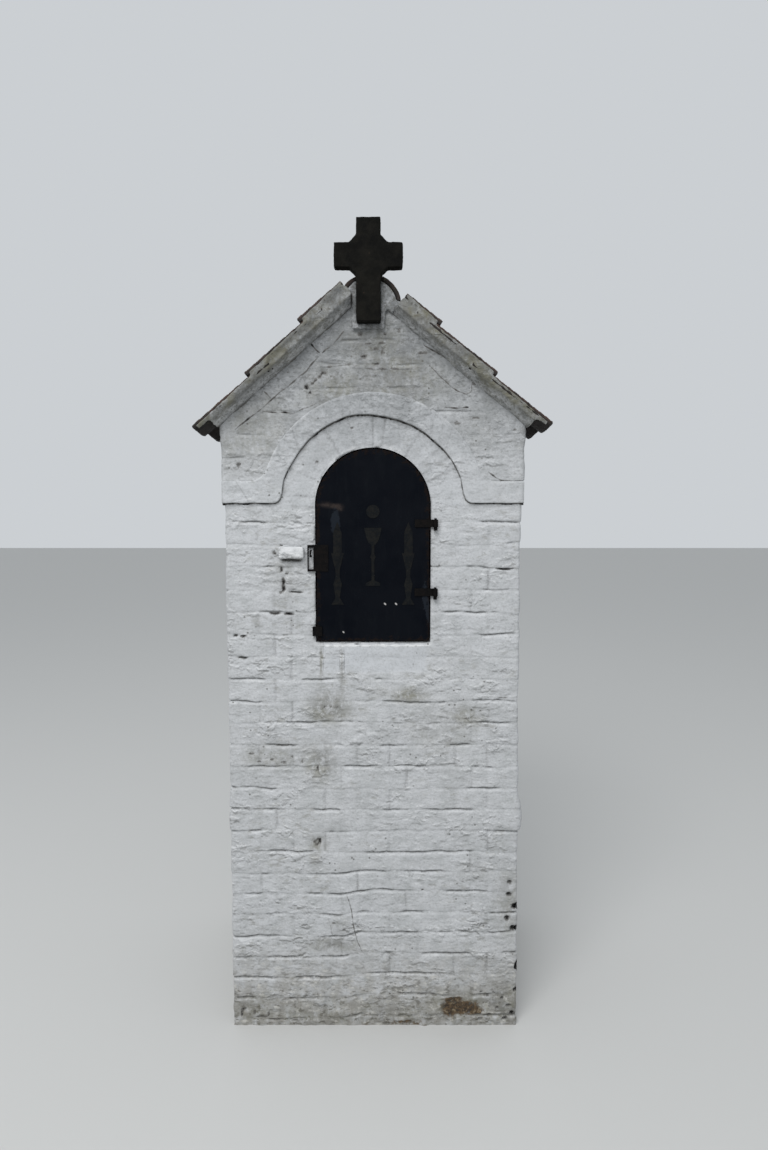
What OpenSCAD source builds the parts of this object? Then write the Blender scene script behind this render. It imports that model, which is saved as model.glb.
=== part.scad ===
// Wayside shrine: a whitewashed brick pillar with an arched niche, an iron door, a gabled
// pantile roof and a cross set on the front gable. Millimetres, +Z up, the front faces -Y.
// The origin is the middle of the pillar's foot.

/* [Pillar] */
// Width of the pillar below the string course
body_w = 935; // [800:5:1100]
// Depth of the pillar from front to back
body_d = 725; // [650:5:900]
// How far the right side leans out at the foot of the pillar
right_batter = 10; // [0:1:20]
// How far the upper block stands out at the front
front_proud = 8; // [4:1:40]
// How far the upper block stands out at the sides and the back
side_proud = 6; // [3:1:20]
// Depth of the facing bricks that carry the arch and the gable
facing_d = 100; // [80:5:120]

/* [Niche] */
// Radius of the niche and of its round head
niche_r = 183; // [150:1:200]
// Height of the niche floor
floor_z = 1297; // [900:1:1500]
// Height of the niche from its floor to the springing of the arch
straight_h = 433; // [400:1:600]
// Depth of the niche behind the front face
niche_d = 400; // [300:5:500]
// Thickness of the mortar floor
floor_t = 30; // [15:1:60]
// Length of the bricks in the arch, measured from the opening outwards
voussoir_h = 102; // [80:1:120]

/* [Hood mould] */
// Height of the level underside of the hood mould above the springing
string_up = 10; // [4:1:30]
// Height of the hood mould, one course of bricks
hood_h = 68; // [50:1:80]
// How far the hood mould stands out from the lower wall
hood_proud = 11; // [8:1:50]
// Radius at the foot of the hood mould's inner edge
hood_foot_r = 28; // [10:1:40]
// Radius where the outer edge sweeps into the level band
hood_sweep_r = 60; // [30:1:60]

/* [Gable] */
// Height of the side walls above the underside of the hood mould
side_h = 238; // [180:1:300]
// Height of the apex above the side walls
gable_h = 398; // [340:1:450]
// How far the apex leans to the left of the middle
apex_shift = 14; // [0:1:30]
// Thickness of the raking course of bricks
rake_t = 58; // [45:1:75]
// How far the raking course stands out from the gable
rake_proud = 3; // [1:1:10]

/* [Roof] */
// How far the tips of the eaves reach past the side walls
eave_over = 88; // [60:1:110]
// How far the tiles reach past the front and back walls
verge_over = 70; // [50:1:90]
// Thickness of the mortar bed at the heads of the eave tiles
bed_t = 8; // [6:1:30]
// How much higher each course lies than the one below it, on the left slope
left_rise = 14; // [0:1:14]
// How much higher each course lies than the one below it, on the right slope
right_rise = 9; // [0:1:14]
// Thickness of the roof tiles
tile_t = 13; // [11:1:16]
// Height of the wave of a pantile
wave_h = 36; // [25:1:45]
// Radius of a pantile's roll, at the middle of its thickness
roll_r = 60; // [45:1:70]
// Number of pantiles from verge to verge
tiles_across = 4; // [3:1:5]
// Length of a pantile
tile_l = 305; // [270:1:310]
// Length of slope that each course leaves in view
gauge = 226; // [200:1:235]
// Where the heads of the left top course start, down the slope
left_head = 45; // [44:1:60]
// Where the heads of the right top course start, down the slope
right_head = 100; // [94:1:115]
// Gap left between tiles that lie side by side or on each other
tile_gap = 0.5; // [0.3:0.1:2]

/* [Ridge] */
// Outer radius of the ridge tiles
ridge_r = 100; // [90:1:110]
// Half of the angle that a ridge tile covers
ridge_half_a = 65; // [50:1:75]
// Thickness of the ridge tiles
ridge_t = 14; // [10:1:18]
// How far the ridge tiles have slipped round to the right, in degrees
ridge_slip_a = 14; // [0:1:18]
// Height of the ridge tiles' centre line below the apex
ridge_drop = 38; // [30:1:50]
// How far the ridge tiles' centre line lies to the left of the middle
ridge_shift = 10; // [4:1:14]
// Number of ridge tiles
ridge_count = 3; // [2:1:4]

/* [Cross] */
// Depth of the foot of the cross below the apex
cross_drop = 91; // [70:1:120]
// Height of the cross
cross_h = 304; // [250:1:400]
// Width of the cross over its arms
cross_span = 208; // [160:1:260]
// Width of the shaft and of the arms
cross_w = 75; // [50:1:90]
// Height of the middle of the arms above the foot
cross_arm_z = 195; // [150:1:260]
// Thickness of the cross
cross_t = 40; // [25:1:40]
// Leg of the chamfers in the upper inner corners
cross_cham_up = 21; // [5:1:28]
// Leg of the chamfers in the lower inner corners
cross_cham_low = 20; // [5:1:28]
// Width of the mortar edge beside the shaft
cross_rim = 14; // [8:1:20]
// Thickness of the mortar behind the cross
seat_pad = 6; // [4:1:12]
// How far the mortar edge stands up beside the shaft
rim_out = 6; // [3:1:12]
// How far the cross stands to the left of the middle
cross_shift = 12; // [0:1:20]

/* [Door] */
// Gap between the door and the brickwork all round
door_gap = 5; // [5:1:8]
// Thickness of the door's iron sheet
leaf_t = 3; // [2:0.5:5]
// Width of the flat bar round the door's back, measured front to back
rim_w = 22; // [15:1:30]
// Thickness of the flat bar round the door's back
rim_t = 4; // [3:0.5:6]
// How far the door's sheet and its straps stand off the wall face
stand_off = 5; // [5:0.5:10]

/* [Hinges] */
// Radius of the pintle pins
pin_r = 4; // [3:0.5:5]
// Running clearance round a pin
pin_gap = 0.3; // [0.2:0.1:0.5]
// Wall of the rolled eye
eye_wall = 3.7; // [3:0.1:5]
// Height of an eye and of its strap
strap_h = 24; // [18:1:40]
// Length of a strap on the door
strap_l = 46; // [35:1:60]
// Thickness of a strap
strap_t = 4; // [3:0.5:6]
// Height of the lower strap above the niche floor
lower_hinge_up = 149; // [80:1:200]
// Height of the upper strap above the niche floor
upper_hinge_up = 367; // [280:1:395]
// Distance of the hinge pins from the edge of the niche
hinge_out = 14; // [13:1:30]
// Side of the square iron shank of a pintle
shank = 10; // [9:1:14]
// Depth to which the irons are built into the wall
iron_in = 60; // [40:5:80]
// Clearance round an iron in its pocket in the wall
pocket_gap = 0.3; // [0.2:0.1:1]

/* [Latch] */
// Height of the latch plate above the niche floor
latch_up = 227; // [180:1:260]
// Height of the latch plate
latch_h = 84; // [70:1:100]
// Width of the latch plate
latch_w = 66; // [60:1:80]
// How far the latch plate reaches past the edge of the niche
latch_out = 24; // [22:1:34]
// Thickness of the latch plate
latch_t = 3; // [2:0.5:5]
// Width of the slot in the latch plate
slot_w = 15; // [14:1:16]
// Height of the slot in the latch plate
slot_h = 68; // [50:1:74]
// Radius of the staple's round bar
staple_r = 2.5; // [2:0.25:3]
// Distance between the two legs of the staple
staple_span = 18; // [16:1:24]
// How far the staple stands out from the wall
staple_out = 32; // [28:1:40]

/* [Ornament] */
// Thickness of the cut sheet ornament on the door
orn_t = 1.5; // [1:0.5:3]
// Height of the foot of the chalice above the niche floor
chalice_up = 181; // [140:1:200]
// Height of the chalice
chalice_h = 184; // [150:1:220]
// Width of the chalice's cup
cup_w = 56; // [50:1:80]
// Height of the chalice's cup
cup_h = 56; // [40:1:70]
// Width of the chalice's stem
cup_stem = 9; // [6:1:14]
// Width of the chalice's foot
cup_foot_w = 46; // [40:1:70]
// Height of the edge of the chalice's foot
cup_foot_h = 9; // [6:1:14]
// Height of the middle of the host above the niche floor
host_up = 416; // [400:1:450]
// Radius of the host
host_r = 21; // [15:1:30]
// Distance of the candlesticks from the middle of the door
candle_x = 112; // [90:1:120]
// Height of the feet of the candlesticks above the niche floor
candle_up = 121; // [90:1:140]
// Height of a candlestick and its candle
candle_h = 262; // [200:1:280]

/* [Keeper and lug] */
// Width of the mortar keeper block
keeper_w = 80; // [60:1:120]
// Height of the keeper block
keeper_h = 38; // [25:1:60]
// How far the keeper block stands out
keeper_out = 24; // [10:1:40]
// Side distance of the middle of the keeper block
keeper_x = 257; // [240:1:300]
// Height of the middle of the keeper block above the niche floor
keeper_up = 287; // [250:1:340]
// Side of the iron lug at the door's lower left corner
lug_s = 30; // [20:1:36]
// How far the lug reaches past the edge of the niche
lug_out = 9; // [6:1:12]
// Height of the middle of the lug above the niche floor
lug_up = 36; // [28:1:90]
// Thickness of the lug
lug_t = 8; // [3:1:15]

/* [Hidden] */

// Whitewash, mortar, tile and iron colours
white = "#dfe1e2";
mortar = "#b9bab6";
tile_red = "#5b3a2c";
iron = "#20242b";
stone_dark = "#2b2723";
grey = "#4a4f52";

fine = 96;
small = 48;
eps = 0.01;

LEFT = -1;
RIGHT = 1;

// Heights that follow from the driving ones
spring_z = floor_z + straight_h;
string_z = spring_z + string_up;
wall_top_z = string_z + side_h;
apex_z = wall_top_z + gable_h;
cross_z = apex_z - cross_drop;
lower_hinge_z = floor_z + lower_hinge_up;
upper_hinge_z = floor_z + upper_hinge_up;
latch_z = floor_z + latch_up;
chalice_z = floor_z + chalice_up;
host_z = floor_z + host_up;
candle_z = floor_z + candle_up;
keeper_z = floor_z + keeper_up;
lug_z = floor_z + lug_up;

// Faces of the walls, as places on the depth axis
front_y = -body_d / 2;
back_y = body_d / 2;
facing_y = front_y + facing_d;
upper_front_y = front_y - front_proud;
upper_back_y = back_y + side_proud;
niche_back_y = front_y + niche_d;
upper_half = body_w / 2 + side_proud;

// The arch and the hood mould over it
arch_r = niche_r + voussoir_h;
hood_in_r = arch_r;
hood_out_r = hood_in_r + hood_h;
hood_top_z = string_z + hood_h;
hood_top_off = hood_top_z - spring_z;
hood_foot_x = sqrt(pow(hood_in_r, 2) - pow(string_z - spring_z, 2));
sweep_x = sqrt(pow(hood_out_r + hood_sweep_r, 2) - pow(hood_top_off + hood_sweep_r, 2));

// Roof slopes: a slope's own axes run down it from the apex and square out of it
function run_x(side) = upper_half + side * apex_shift;
function pitch(side) = atan((apex_z - wall_top_z) / run_x(side));
function wall_s(side) = run_x(side) / cos(pitch(side));
eave_half = upper_half + eave_over;
roof_d = body_d + 2 * verge_over;
cover = roof_d / tiles_across;
wave_r = (pow(cover / 2, 2) + pow(wave_h, 2)) / (2 * wave_h);
pan_r = wave_r - roll_r;
turn_a = acos((wave_r - wave_h) / wave_r);
lift = tile_t / cos(turn_a) + tile_gap;
function rise(side) = side == LEFT ? left_rise : right_rise;
function tilt(side) = asin(lift / norm([gauge, rise(side)])) - atan(rise(side) / gauge);
// Places of a course's tails, counted from the top course k = 0 to the eave k = 2
function tail_n(side, k) =
    bed_t + tile_t / 2 + tile_gap + tile_l * tan(tilt(side)) + (2 - k) * rise(side);
function tip_n(side) = tail_n(side, 2) + wave_h + tile_t / 2;
function eave_s(side) =
    (eave_half + side * apex_shift - tip_n(side) * sin(pitch(side))) / cos(pitch(side));
function tail_s(side, k) = eave_s(side) - (2 - k) * gauge;
function top_head(side) = side == LEFT ? left_head : right_head;
function head_s(side, k) = max(top_head(side), tail_s(side, k) - tile_l);
// Height of a tile's pan above the slope where its course crosses a place s
function seat_n(side, k, s) =
    tail_n(side, k) - (tail_s(side, k) - s) * tan(tilt(side)) - tile_t / 2 - tile_gap;
// Place in the front view of a point given in a slope's own axes
function slope_pt(side, s, n) = [
    -apex_shift + side * (s * cos(pitch(side)) + n * sin(pitch(side))),
    apex_z - s * sin(pitch(side)) + n * cos(pitch(side))
];
// Room that a tile's square-cut head needs because the tile leans on its bed
head_clear = 4;
function bed_top_s(side) = top_head(side) - head_clear;
// Place down the slope where the bed steps down to a course, and the least step
step_min = 5;
function step_s(side, k) = max(bed_top_s(side) + k * step_min, head_s(side, k) - head_clear);

// Ridge tiles, and the seat of the cross in front of them
ridge_z = apex_z - ridge_drop;
ridge_x = -ridge_shift;
ridge_in_r = ridge_r - ridge_t;
function ridge_pt(r, a) = [ridge_x + r * sin(a), ridge_z + r * cos(a)];
flank_n = 46;
rake_front_y = upper_front_y - rake_proud;
rake_back_y = upper_back_y + rake_proud;
seat_y = rake_front_y - seat_pad;
ridge_front_y = seat_y + tile_gap;
cross_x = -cross_shift;
ridge_fill_in = 1;
// Number of straight steps along the top of the mortar under the ridge tiles
ridge_steps = 20;
// Ends and thicknesses of the verge mortar
verge_end = 10;
verge_back = 8;
verge_foot_n = 22;
verge_top_n = 90;
first_pan_y = -roof_d / 2 + pan_r * sin(turn_a);
last_roll_y = first_pan_y + (tiles_across - 0.5) * cover;

// Door sheet, hinge line and latch
leaf_r = niche_r - door_gap;
leaf_back_y = front_y - stand_off + leaf_t;
leaf_front_y = front_y - stand_off;
eye_r = pin_r + pin_gap + eye_wall;
hinge_x = niche_r + hinge_out;
hinge_y = leaf_front_y - eye_r;
// Metal left beside and below the slot, and room between the staple and the slot's top
slot_side = 4;
slot_below = 7;
staple_room = 6;
slot_x = -(niche_r + latch_out) + slot_side + slot_w / 2;
slot_z = latch_z + slot_below;
staple_z = slot_z + slot_h - staple_room - staple_r - staple_span;

// Widths of the chalice's cup half way down and near its foot, as parts of its width
cup_belly = 0.77;
cup_neck = 0.5;

// A box between two corners
module block(a, b) {
    translate(a) cube(b - a);
}

// Turns a shape drawn in the front view into a solid between two depths
module front_prism(y0, y1) {
    translate([0, y1, 0]) rotate([90, 0, 0]) linear_extrude(y1 - y0) children();
}

// Moves a shape into a slope's own axes
module on_slope(side) {
    translate([-apex_shift, 0, apex_z])
        mirror([side == LEFT ? 1 : 0, 0, 0])
            rotate([0, pitch(side), 0]) children();
}

// Round bar from the wall outwards
module bar_y(x, z, r, y0, y1) {
    translate([x, y1, z]) rotate([90, 0, 0]) cylinder(h = y1 - y0, r = r, $fn = small);
}

// Front view of the arched opening, grown by a margin
module niche_outline(grow) {
    translate([0, spring_z]) circle(r = niche_r + grow, $fn = fine);
    translate([-niche_r - grow, floor_z - grow])
        square([2 * (niche_r + grow), spring_z - floor_z + grow]);
}

// Front view of the upper block below a line that lies depth under the slopes
module gable_outline(depth) {
    left_drop = depth / cos(pitch(LEFT));
    right_drop = depth / cos(pitch(RIGHT));
    lean = (left_drop - right_drop) / (tan(pitch(LEFT)) + tan(pitch(RIGHT)));
    polygon([
        [-upper_half, string_z], [upper_half, string_z],
        [upper_half, wall_top_z - right_drop],
        [-apex_shift + lean, apex_z - left_drop + lean * tan(pitch(LEFT))],
        [-upper_half, wall_top_z - left_drop]
    ]);
}

// Half of an arch ring in the front view
module arch_band(r_in, r_out, z_foot) {
    difference() {
        translate([0, spring_z]) circle(r = r_out, $fn = fine);
        if (r_in > 0) translate([0, spring_z]) circle(r = r_in, $fn = fine);
        translate([-r_out - 1, spring_z - r_out - 1])
            square([2 * r_out + 2, r_out + 1 + z_foot - spring_z]);
    }
}

// Rounded foot of the hood mould where its inner edge turns level
module hood_foot_cut() {
    difference() {
        translate([hood_foot_x - hood_foot_r, string_z - 1])
            square([2 * hood_foot_r, hood_foot_r + 1]);
        translate([hood_foot_x + hood_foot_r, string_z + hood_foot_r])
            circle(r = hood_foot_r, $fn = fine);
    }
}

// Fill that sweeps the outer edge of the hood mould into the level band
module hood_sweep() {
    difference() {
        polygon([
            [0, spring_z], [sweep_x, hood_top_z - 1], [sweep_x, hood_top_z],
            [sweep_x, hood_top_z + hood_sweep_r]
        ]);
        translate([sweep_x, hood_top_z + hood_sweep_r])
            circle(r = hood_sweep_r, $fn = fine);
    }
}

module hood_outline() {
    difference() {
        union() {
            arch_band(hood_in_r, hood_out_r, string_z);
            difference() {
                union() {
                    translate([-upper_half, string_z]) square([2 * upper_half, hood_h]);
                    hood_sweep();
                    mirror([1, 0]) hood_sweep();
                }
                translate([0, spring_z]) circle(r = hood_in_r, $fn = fine);
            }
        }
        hood_foot_cut();
        mirror([1, 0]) hood_foot_cut();
    }
}

// Everything in the front view that the hood mould frames or covers
module hood_cover() {
    union() {
        hood_outline();
        translate([0, spring_z]) circle(r = hood_in_r + eps, $fn = fine);
        translate([-upper_half, string_z - 1]) square([2 * upper_half, hood_h + 1]);
    }
}

// The solid brick pillar below the niche
module pillar() {
    top_z = floor_z - floor_t;
    color(white) front_prism(front_y, back_y) polygon([
        [-body_w / 2, 0], [body_w / 2 + right_batter, 0], [body_w / 2, top_z],
        [-body_w / 2, top_z]
    ]);
}

// Mortar floor of the niche
module niche_floor() {
    color(mortar) block([-niche_r, front_y, floor_z - floor_t],
        [niche_r, niche_back_y, floor_z]);
}

// Brickwork beside the niche, from its floor to the string course, less its children
module jamb(side) {
    x0 = min(side * niche_r, side * body_w / 2);
    x1 = max(side * niche_r, side * body_w / 2);
    difference() {
        block([x0, front_y, floor_z - floor_t], [x1, niche_back_y, string_z]);
        front_prism(front_y - 1, niche_back_y + 1) arch_band(0, arch_r, spring_z);
        children();
    }
}

module left_jamb() {
    color(white) jamb(LEFT) union() {
        staple_leg(staple_z, pocket_gap);
        staple_leg(staple_z + staple_span, pocket_gap);
    }
}

module right_jamb() {
    color(white) jamb(RIGHT) union() {
        pintle_shank(lower_hinge_z, pocket_gap);
        pintle_shank(upper_hinge_z, pocket_gap);
    }
}

// Brickwork behind the niche
module niche_back() {
    color(white) block([-body_w / 2, niche_back_y, floor_z - floor_t],
        [body_w / 2, back_y, string_z]);
}

// Ring of bricks on end round the head of the opening, flush with the lower wall
module arch_ring() {
    color(white) front_prism(front_y, facing_y) arch_band(niche_r, arch_r, spring_z);
}

// Barrel vault over the niche, behind the ring
module niche_vault() {
    color(white) front_prism(facing_y, niche_back_y)
        arch_band(niche_r, arch_r, spring_z);
}

// Masonry on one side of the vault, up to the height of its crown
module haunch(side) {
    x0 = min(0, side * upper_half);
    x1 = max(0, side * upper_half);
    color(white) difference() {
        intersection() {
            front_prism(facing_y, back_y - facing_d) gable_outline(0);
            block([x0, facing_y, string_z], [x1, back_y - facing_d, spring_z + arch_r]);
        }
        front_prism(facing_y - 1, niche_back_y) translate([0, spring_z])
            circle(r = arch_r, $fn = fine);
    }
}

module left_haunch() {
    haunch(LEFT);
}

module right_haunch() {
    haunch(RIGHT);
}

// Masonry above the vault, up to the roof slopes
module crown() {
    color(white) intersection() {
        front_prism(facing_y, back_y - facing_d) gable_outline(0);
        block([-upper_half, facing_y, spring_z + arch_r], [upper_half, back_y, apex_z]);
    }
}

// Moulded course that runs level, arches over the niche and runs level again
module hood_mould() {
    color(white) front_prism(front_y - hood_proud, facing_y) hood_outline();
}

// Brickwork of the front gable above the hood mould
module front_gable() {
    color(white) front_prism(upper_front_y, facing_y) difference() {
        gable_outline(rake_t);
        hood_cover();
    }
}

module back_gable() {
    color(white) front_prism(back_y - facing_d, upper_back_y) gable_outline(rake_t);
}

// Raking course of bricks under one verge
module rake(side, y0, y1) {
    front_prism(y0, y1) intersection() {
        difference() {
            gable_outline(0);
            gable_outline(rake_t);
        }
        translate([side == LEFT ? -upper_half - 1 : -apex_shift, string_z])
            square([upper_half + (side == LEFT ? 1 - apex_shift : 1 + apex_shift),
                apex_z - string_z]);
    }
}

module front_rakes() {
    color(white) union() {
        rake(LEFT, upper_front_y - rake_proud, facing_y);
        rake(RIGHT, upper_front_y - rake_proud, facing_y);
    }
}

module back_rakes() {
    color(white) union() {
        rake(LEFT, back_y - facing_d, upper_back_y + rake_proud);
        rake(RIGHT, back_y - facing_d, upper_back_y + rake_proud);
    }
}

// Side view of the mortar that seats the tile courses of one slope, from s0 to s1
module bed_outline(side, s0, s1) {
    middle_s = step_s(side, 1);
    low_s = step_s(side, 2);
    polygon([
        [s0, 0], [s0, seat_n(side, 0, s0)],
        [middle_s, seat_n(side, 0, middle_s)], [middle_s, seat_n(side, 1, middle_s)],
        [low_s, seat_n(side, 1, low_s)], [low_s, seat_n(side, 2, low_s)],
        [s1, seat_n(side, 2, s1)], [s1, 0]
    ]);
}

module roof_bed(side) {
    color(mortar) on_slope(side) front_prism(front_y, back_y)
        bed_outline(side, bed_top_s(side), wall_s(side));
}

module left_roof_bed() {
    roof_bed(LEFT);
}

module right_roof_bed() {
    roof_bed(RIGHT);
}

// Profile of one pantile: a wide pan and a narrow roll, tangent where they meet
module tile_profile() {
    reach = wave_r * 2;
    intersection() {
        translate([0, pan_r]) difference() {
            circle(r = pan_r + tile_t / 2, $fn = fine);
            circle(r = pan_r - tile_t / 2, $fn = fine);
        }
        translate([0, pan_r]) polygon([[0, 0],
            reach * [-sin(turn_a), -cos(turn_a)], reach * [sin(turn_a), -cos(turn_a)]]);
    }
    intersection() {
        translate([cover / 2, wave_h - roll_r]) difference() {
            circle(r = roll_r + tile_t / 2, $fn = fine);
            circle(r = roll_r - tile_t / 2, $fn = fine);
        }
        translate([cover / 2, wave_h - roll_r]) polygon([[0, 0],
            reach * [-sin(turn_a), cos(turn_a)], reach * [sin(turn_a - 1), cos(turn_a - 1)]]);
    }
}

// One course of pantiles on a slope
module tile_course(side, k) {
    length = tail_s(side, k) - head_s(side, k);
    color(tile_red) tile_axes(side, k) for (i = [0 : tiles_across - 1])
        translate([-length, first_pan_y + i * cover, 0])
            rotate([90, 0, 90]) linear_extrude(length) tile_profile();
}

module left_tiles_top() {
    tile_course(LEFT, 0);
}

module left_tiles_middle() {
    tile_course(LEFT, 1);
}

module left_tiles_eave() {
    tile_course(LEFT, 2);
}

module right_tiles_top() {
    tile_course(RIGHT, 0);
}

module right_tiles_middle() {
    tile_course(RIGHT, 1);
}

module right_tiles_eave() {
    tile_course(RIGHT, 2);
}

// Axes of one course's tiles: along the course's tail, leaning up by the tilt
module tile_axes(side, k) {
    on_slope(side) translate([tail_s(side, k), 0, tail_n(side, k)])
        rotate([0, -tilt(side), 0]) children();
}

// Round rod along a course, at a place given across the roof and above the pans
module rod_along(y, n, r) {
    translate([-2 * tile_l, y, n]) rotate([0, 90, 0]) cylinder(h = 3 * tile_l, r = r, $fn = fine);
}

// Stretch of a slope that one course covers, between two depths
module course_stretch(side, k, y0, y1) {
    s0 = k == 0 ? bed_top_s(side) : step_s(side, k);
    s1 = k == 2 ? wall_s(side) + verge_end + 1 : step_s(side, k + 1);
    on_slope(side) block([s0, y0, -1], [s1, y1, verge_top_n + 1]);
}

// Foot of the verge mortar, which ties its stretches together
module verge_foot(side, y0, y1) {
    on_slope(side)
        block([bed_top_s(side), y0, -1], [wall_s(side) + verge_end + 1, y1, bed_t / 2]);
}

// Slanted mortar fillet from the raking course out to the edge of the tiles
module verge_slant(side, y_bed, y_rake, y_edge) {
    on_slope(side) rotate([90, 0, 90]) linear_extrude(wall_s(side) + verge_end)
        polygon([
            [y_bed, 0], [y_rake, 0], [y_edge, verge_foot_n], [y_edge, verge_top_n],
            [y_bed, verge_top_n]
        ]);
}

// Mortar under the upturned edges of the front tiles
module front_verge(side) {
    edge_y = front_y - verge_over + verge_back;
    intersection() {
        verge_slant(side, front_y, rake_front_y, edge_y);
        difference() {
            union() {
                for (k = [0 : 2]) difference() {
                    course_stretch(side, k, front_y - verge_over, front_y + 1);
                    tile_axes(side, k)
                        rod_along(first_pan_y, pan_r, pan_r + tile_t / 2 + tile_gap);
                }
                verge_foot(side, front_y - verge_over, front_y + 1);
            }
            front_prism(front_y - verge_over - 1, front_y + 2) seat_outline(tile_gap);
        }
    }
}

module front_verge_mortar() {
    color(mortar) union() {
        front_verge(LEFT);
        front_verge(RIGHT);
    }
}

// Mortar under the last rolls of the back tiles
module back_verge(side) {
    edge_y = back_y + verge_over - verge_back;
    intersection() {
        verge_slant(side, back_y, rake_back_y, edge_y);
        union() {
            for (k = [0 : 2]) intersection() {
                course_stretch(side, k, back_y - 1, back_y + verge_over);
                tile_axes(side, k) union() {
                    block([-2 * tile_l, back_y - 2, -2 * verge_top_n],
                        [tile_l, back_y + verge_over + 1, wave_h - roll_r]);
                    rod_along(last_roll_y, wave_h - roll_r, roll_r - tile_t / 2 - tile_gap);
                }
            }
            verge_foot(side, back_y - 1, back_y + verge_over);
        }
    }
}

module back_verge_mortar() {
    color(mortar) union() {
        back_verge(LEFT);
        back_verge(RIGHT);
    }
}

// Front view of the mortar under the ridge tiles, between the heads of the top courses
module ridge_fill(grow) {
    in_r = ridge_in_r - tile_gap + grow;
    polygon(concat(
        [
            slope_pt(LEFT, 0, 0), slope_pt(RIGHT, bed_top_s(RIGHT), 0),
            slope_pt(RIGHT, bed_top_s(RIGHT), flank_n)
        ],
        [for (i = [0 : ridge_steps])
            ridge_pt(in_r, ridge_slip_a + ridge_half_a * (1 - 2 * i / ridge_steps))],
        [slope_pt(LEFT, bed_top_s(LEFT), flank_n), slope_pt(LEFT, bed_top_s(LEFT), 0)]
    ));
}

module ridge_bed() {
    color(mortar) front_prism(rake_front_y, rake_back_y) ridge_fill(0);
}

// Half-round ridge tiles, end to end
module ridge_tiles() {
    tile_len = (2 * abs(ridge_front_y) - (ridge_count - 1) * tile_gap) / ridge_count;
    left_a = ridge_slip_a - ridge_half_a;
    right_a = ridge_slip_a + ridge_half_a;
    color(tile_red) for (i = [0 : ridge_count - 1]) {
        y0 = ridge_front_y + i * (tile_len + tile_gap);
        front_prism(y0, y0 + tile_len) intersection() {
            translate([ridge_x, ridge_z]) difference() {
                circle(r = ridge_r, $fn = fine);
                circle(r = ridge_in_r, $fn = fine);
            }
            polygon([
                [ridge_x, ridge_z], ridge_pt(2 * ridge_r, right_a),
                ridge_pt(3 * ridge_r, (left_a + right_a) / 2), ridge_pt(2 * ridge_r, left_a)
            ]);
        }
    }
}

// Front view of the mortar that holds the cross to the gable
module seat_outline(grow) {
    half = cross_w / 2 + cross_rim + grow;
    foot = cross_z - cross_rim - grow;
    ridge_fill(-ridge_fill_in + grow);
    translate([cross_x - half, foot]) square([2 * half, ridge_z + ridge_in_r / 2 - foot]);
}

// Mortar seat of the cross, with a low edge round the shaft
module cross_seat() {
    color(mortar) difference() {
        front_prism(seat_y - rim_out, rake_front_y) seat_outline(0);
        block([cross_x - cross_w / 2 - tile_gap, seat_y - rim_out - 1, cross_z - tile_gap],
            [cross_x + cross_w / 2 + tile_gap, seat_y, cross_z + cross_h]);
    }
}

// Right half of the cross from its top to its foot, measured from the middle of the arms
function cross_half() = let (half = cross_w / 2) [
    [half, cross_h - cross_arm_z], [half, half + cross_cham_up], [half + cross_cham_up, half],
    [cross_span / 2, half], [cross_span / 2, -half], [half + cross_cham_low, -half],
    [half, -half - cross_cham_low], [half, -cross_arm_z]
];

module cross() {
    points = cross_half();
    last = len(points) - 1;
    color(stone_dark) front_prism(seat_y - cross_t, seat_y - tile_gap)
        translate([cross_x, cross_z + cross_arm_z])
            polygon(concat(points, [for (i = [0 : last]) [-points[last - i][0], points[last - i][1]]]));
}

// Stub of mortar on the wall beside the latch
module keeper_block() {
    color(white) block(
        [-keeper_x - keeper_w / 2, front_y - keeper_out, keeper_z - keeper_h / 2],
        [-keeper_x + keeper_w / 2, front_y, keeper_z + keeper_h / 2]);
}

// Square shank of a pintle, from below the eye into the wall
module pintle_shank(z, grow) {
    block([hinge_x - shank / 2 - grow, hinge_y - shank / 2, z - pin_gap - shank - grow],
        [hinge_x + shank / 2 + grow, front_y + iron_in + grow, z - pin_gap + grow]);
}

module pintle(z) {
    color(iron) union() {
        pintle_shank(z, 0);
        translate([hinge_x, hinge_y, z - pin_gap - shank / 2])
            cylinder(h = shank / 2 + pin_gap + strap_h + pin_r, r = pin_r, $fn = small);
    }
}

module upper_pintle() {
    pintle(upper_hinge_z);
}

module lower_pintle() {
    pintle(lower_hinge_z);
}

// Leg of the staple, from the loop's front into the wall
module staple_leg(z, grow) {
    bar_y(slot_x, z, staple_r + grow, front_y - staple_out + staple_r, front_y + iron_in + grow);
}

module latch_staple() {
    color(iron) union() {
        staple_leg(staple_z, 0);
        staple_leg(staple_z + staple_span, 0);
        translate([slot_x, front_y - staple_out + staple_r, staple_z]) {
            cylinder(h = staple_span, r = staple_r, $fn = small);
            sphere(r = staple_r, $fn = small);
            translate([0, 0, staple_span]) sphere(r = staple_r, $fn = small);
        }
    }
}

// Arched iron sheet of the door
module door_leaf() {
    color(iron) front_prism(leaf_front_y, leaf_back_y) niche_outline(-door_gap);
}

// Flat bar bent round the back of the sheet
module door_rim() {
    color(iron) front_prism(leaf_back_y, leaf_back_y + rim_w) difference() {
        niche_outline(-door_gap);
        niche_outline(-door_gap - rim_t);
    }
}

// Strap on the door that is rolled into an eye round the pin
module strap(z) {
    color(iron) difference() {
        union() {
            block([leaf_r - strap_l, leaf_front_y - strap_t, z],
                [hinge_x, leaf_front_y, z + strap_h]);
            translate([hinge_x, hinge_y, z]) cylinder(h = strap_h, r = eye_r, $fn = small);
        }
        translate([hinge_x, hinge_y, z - 1])
            cylinder(h = strap_h + 2, r = pin_r + pin_gap, $fn = small);
    }
}

module upper_strap() {
    strap(upper_hinge_z);
}

module lower_strap() {
    strap(lower_hinge_z);
}

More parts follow.
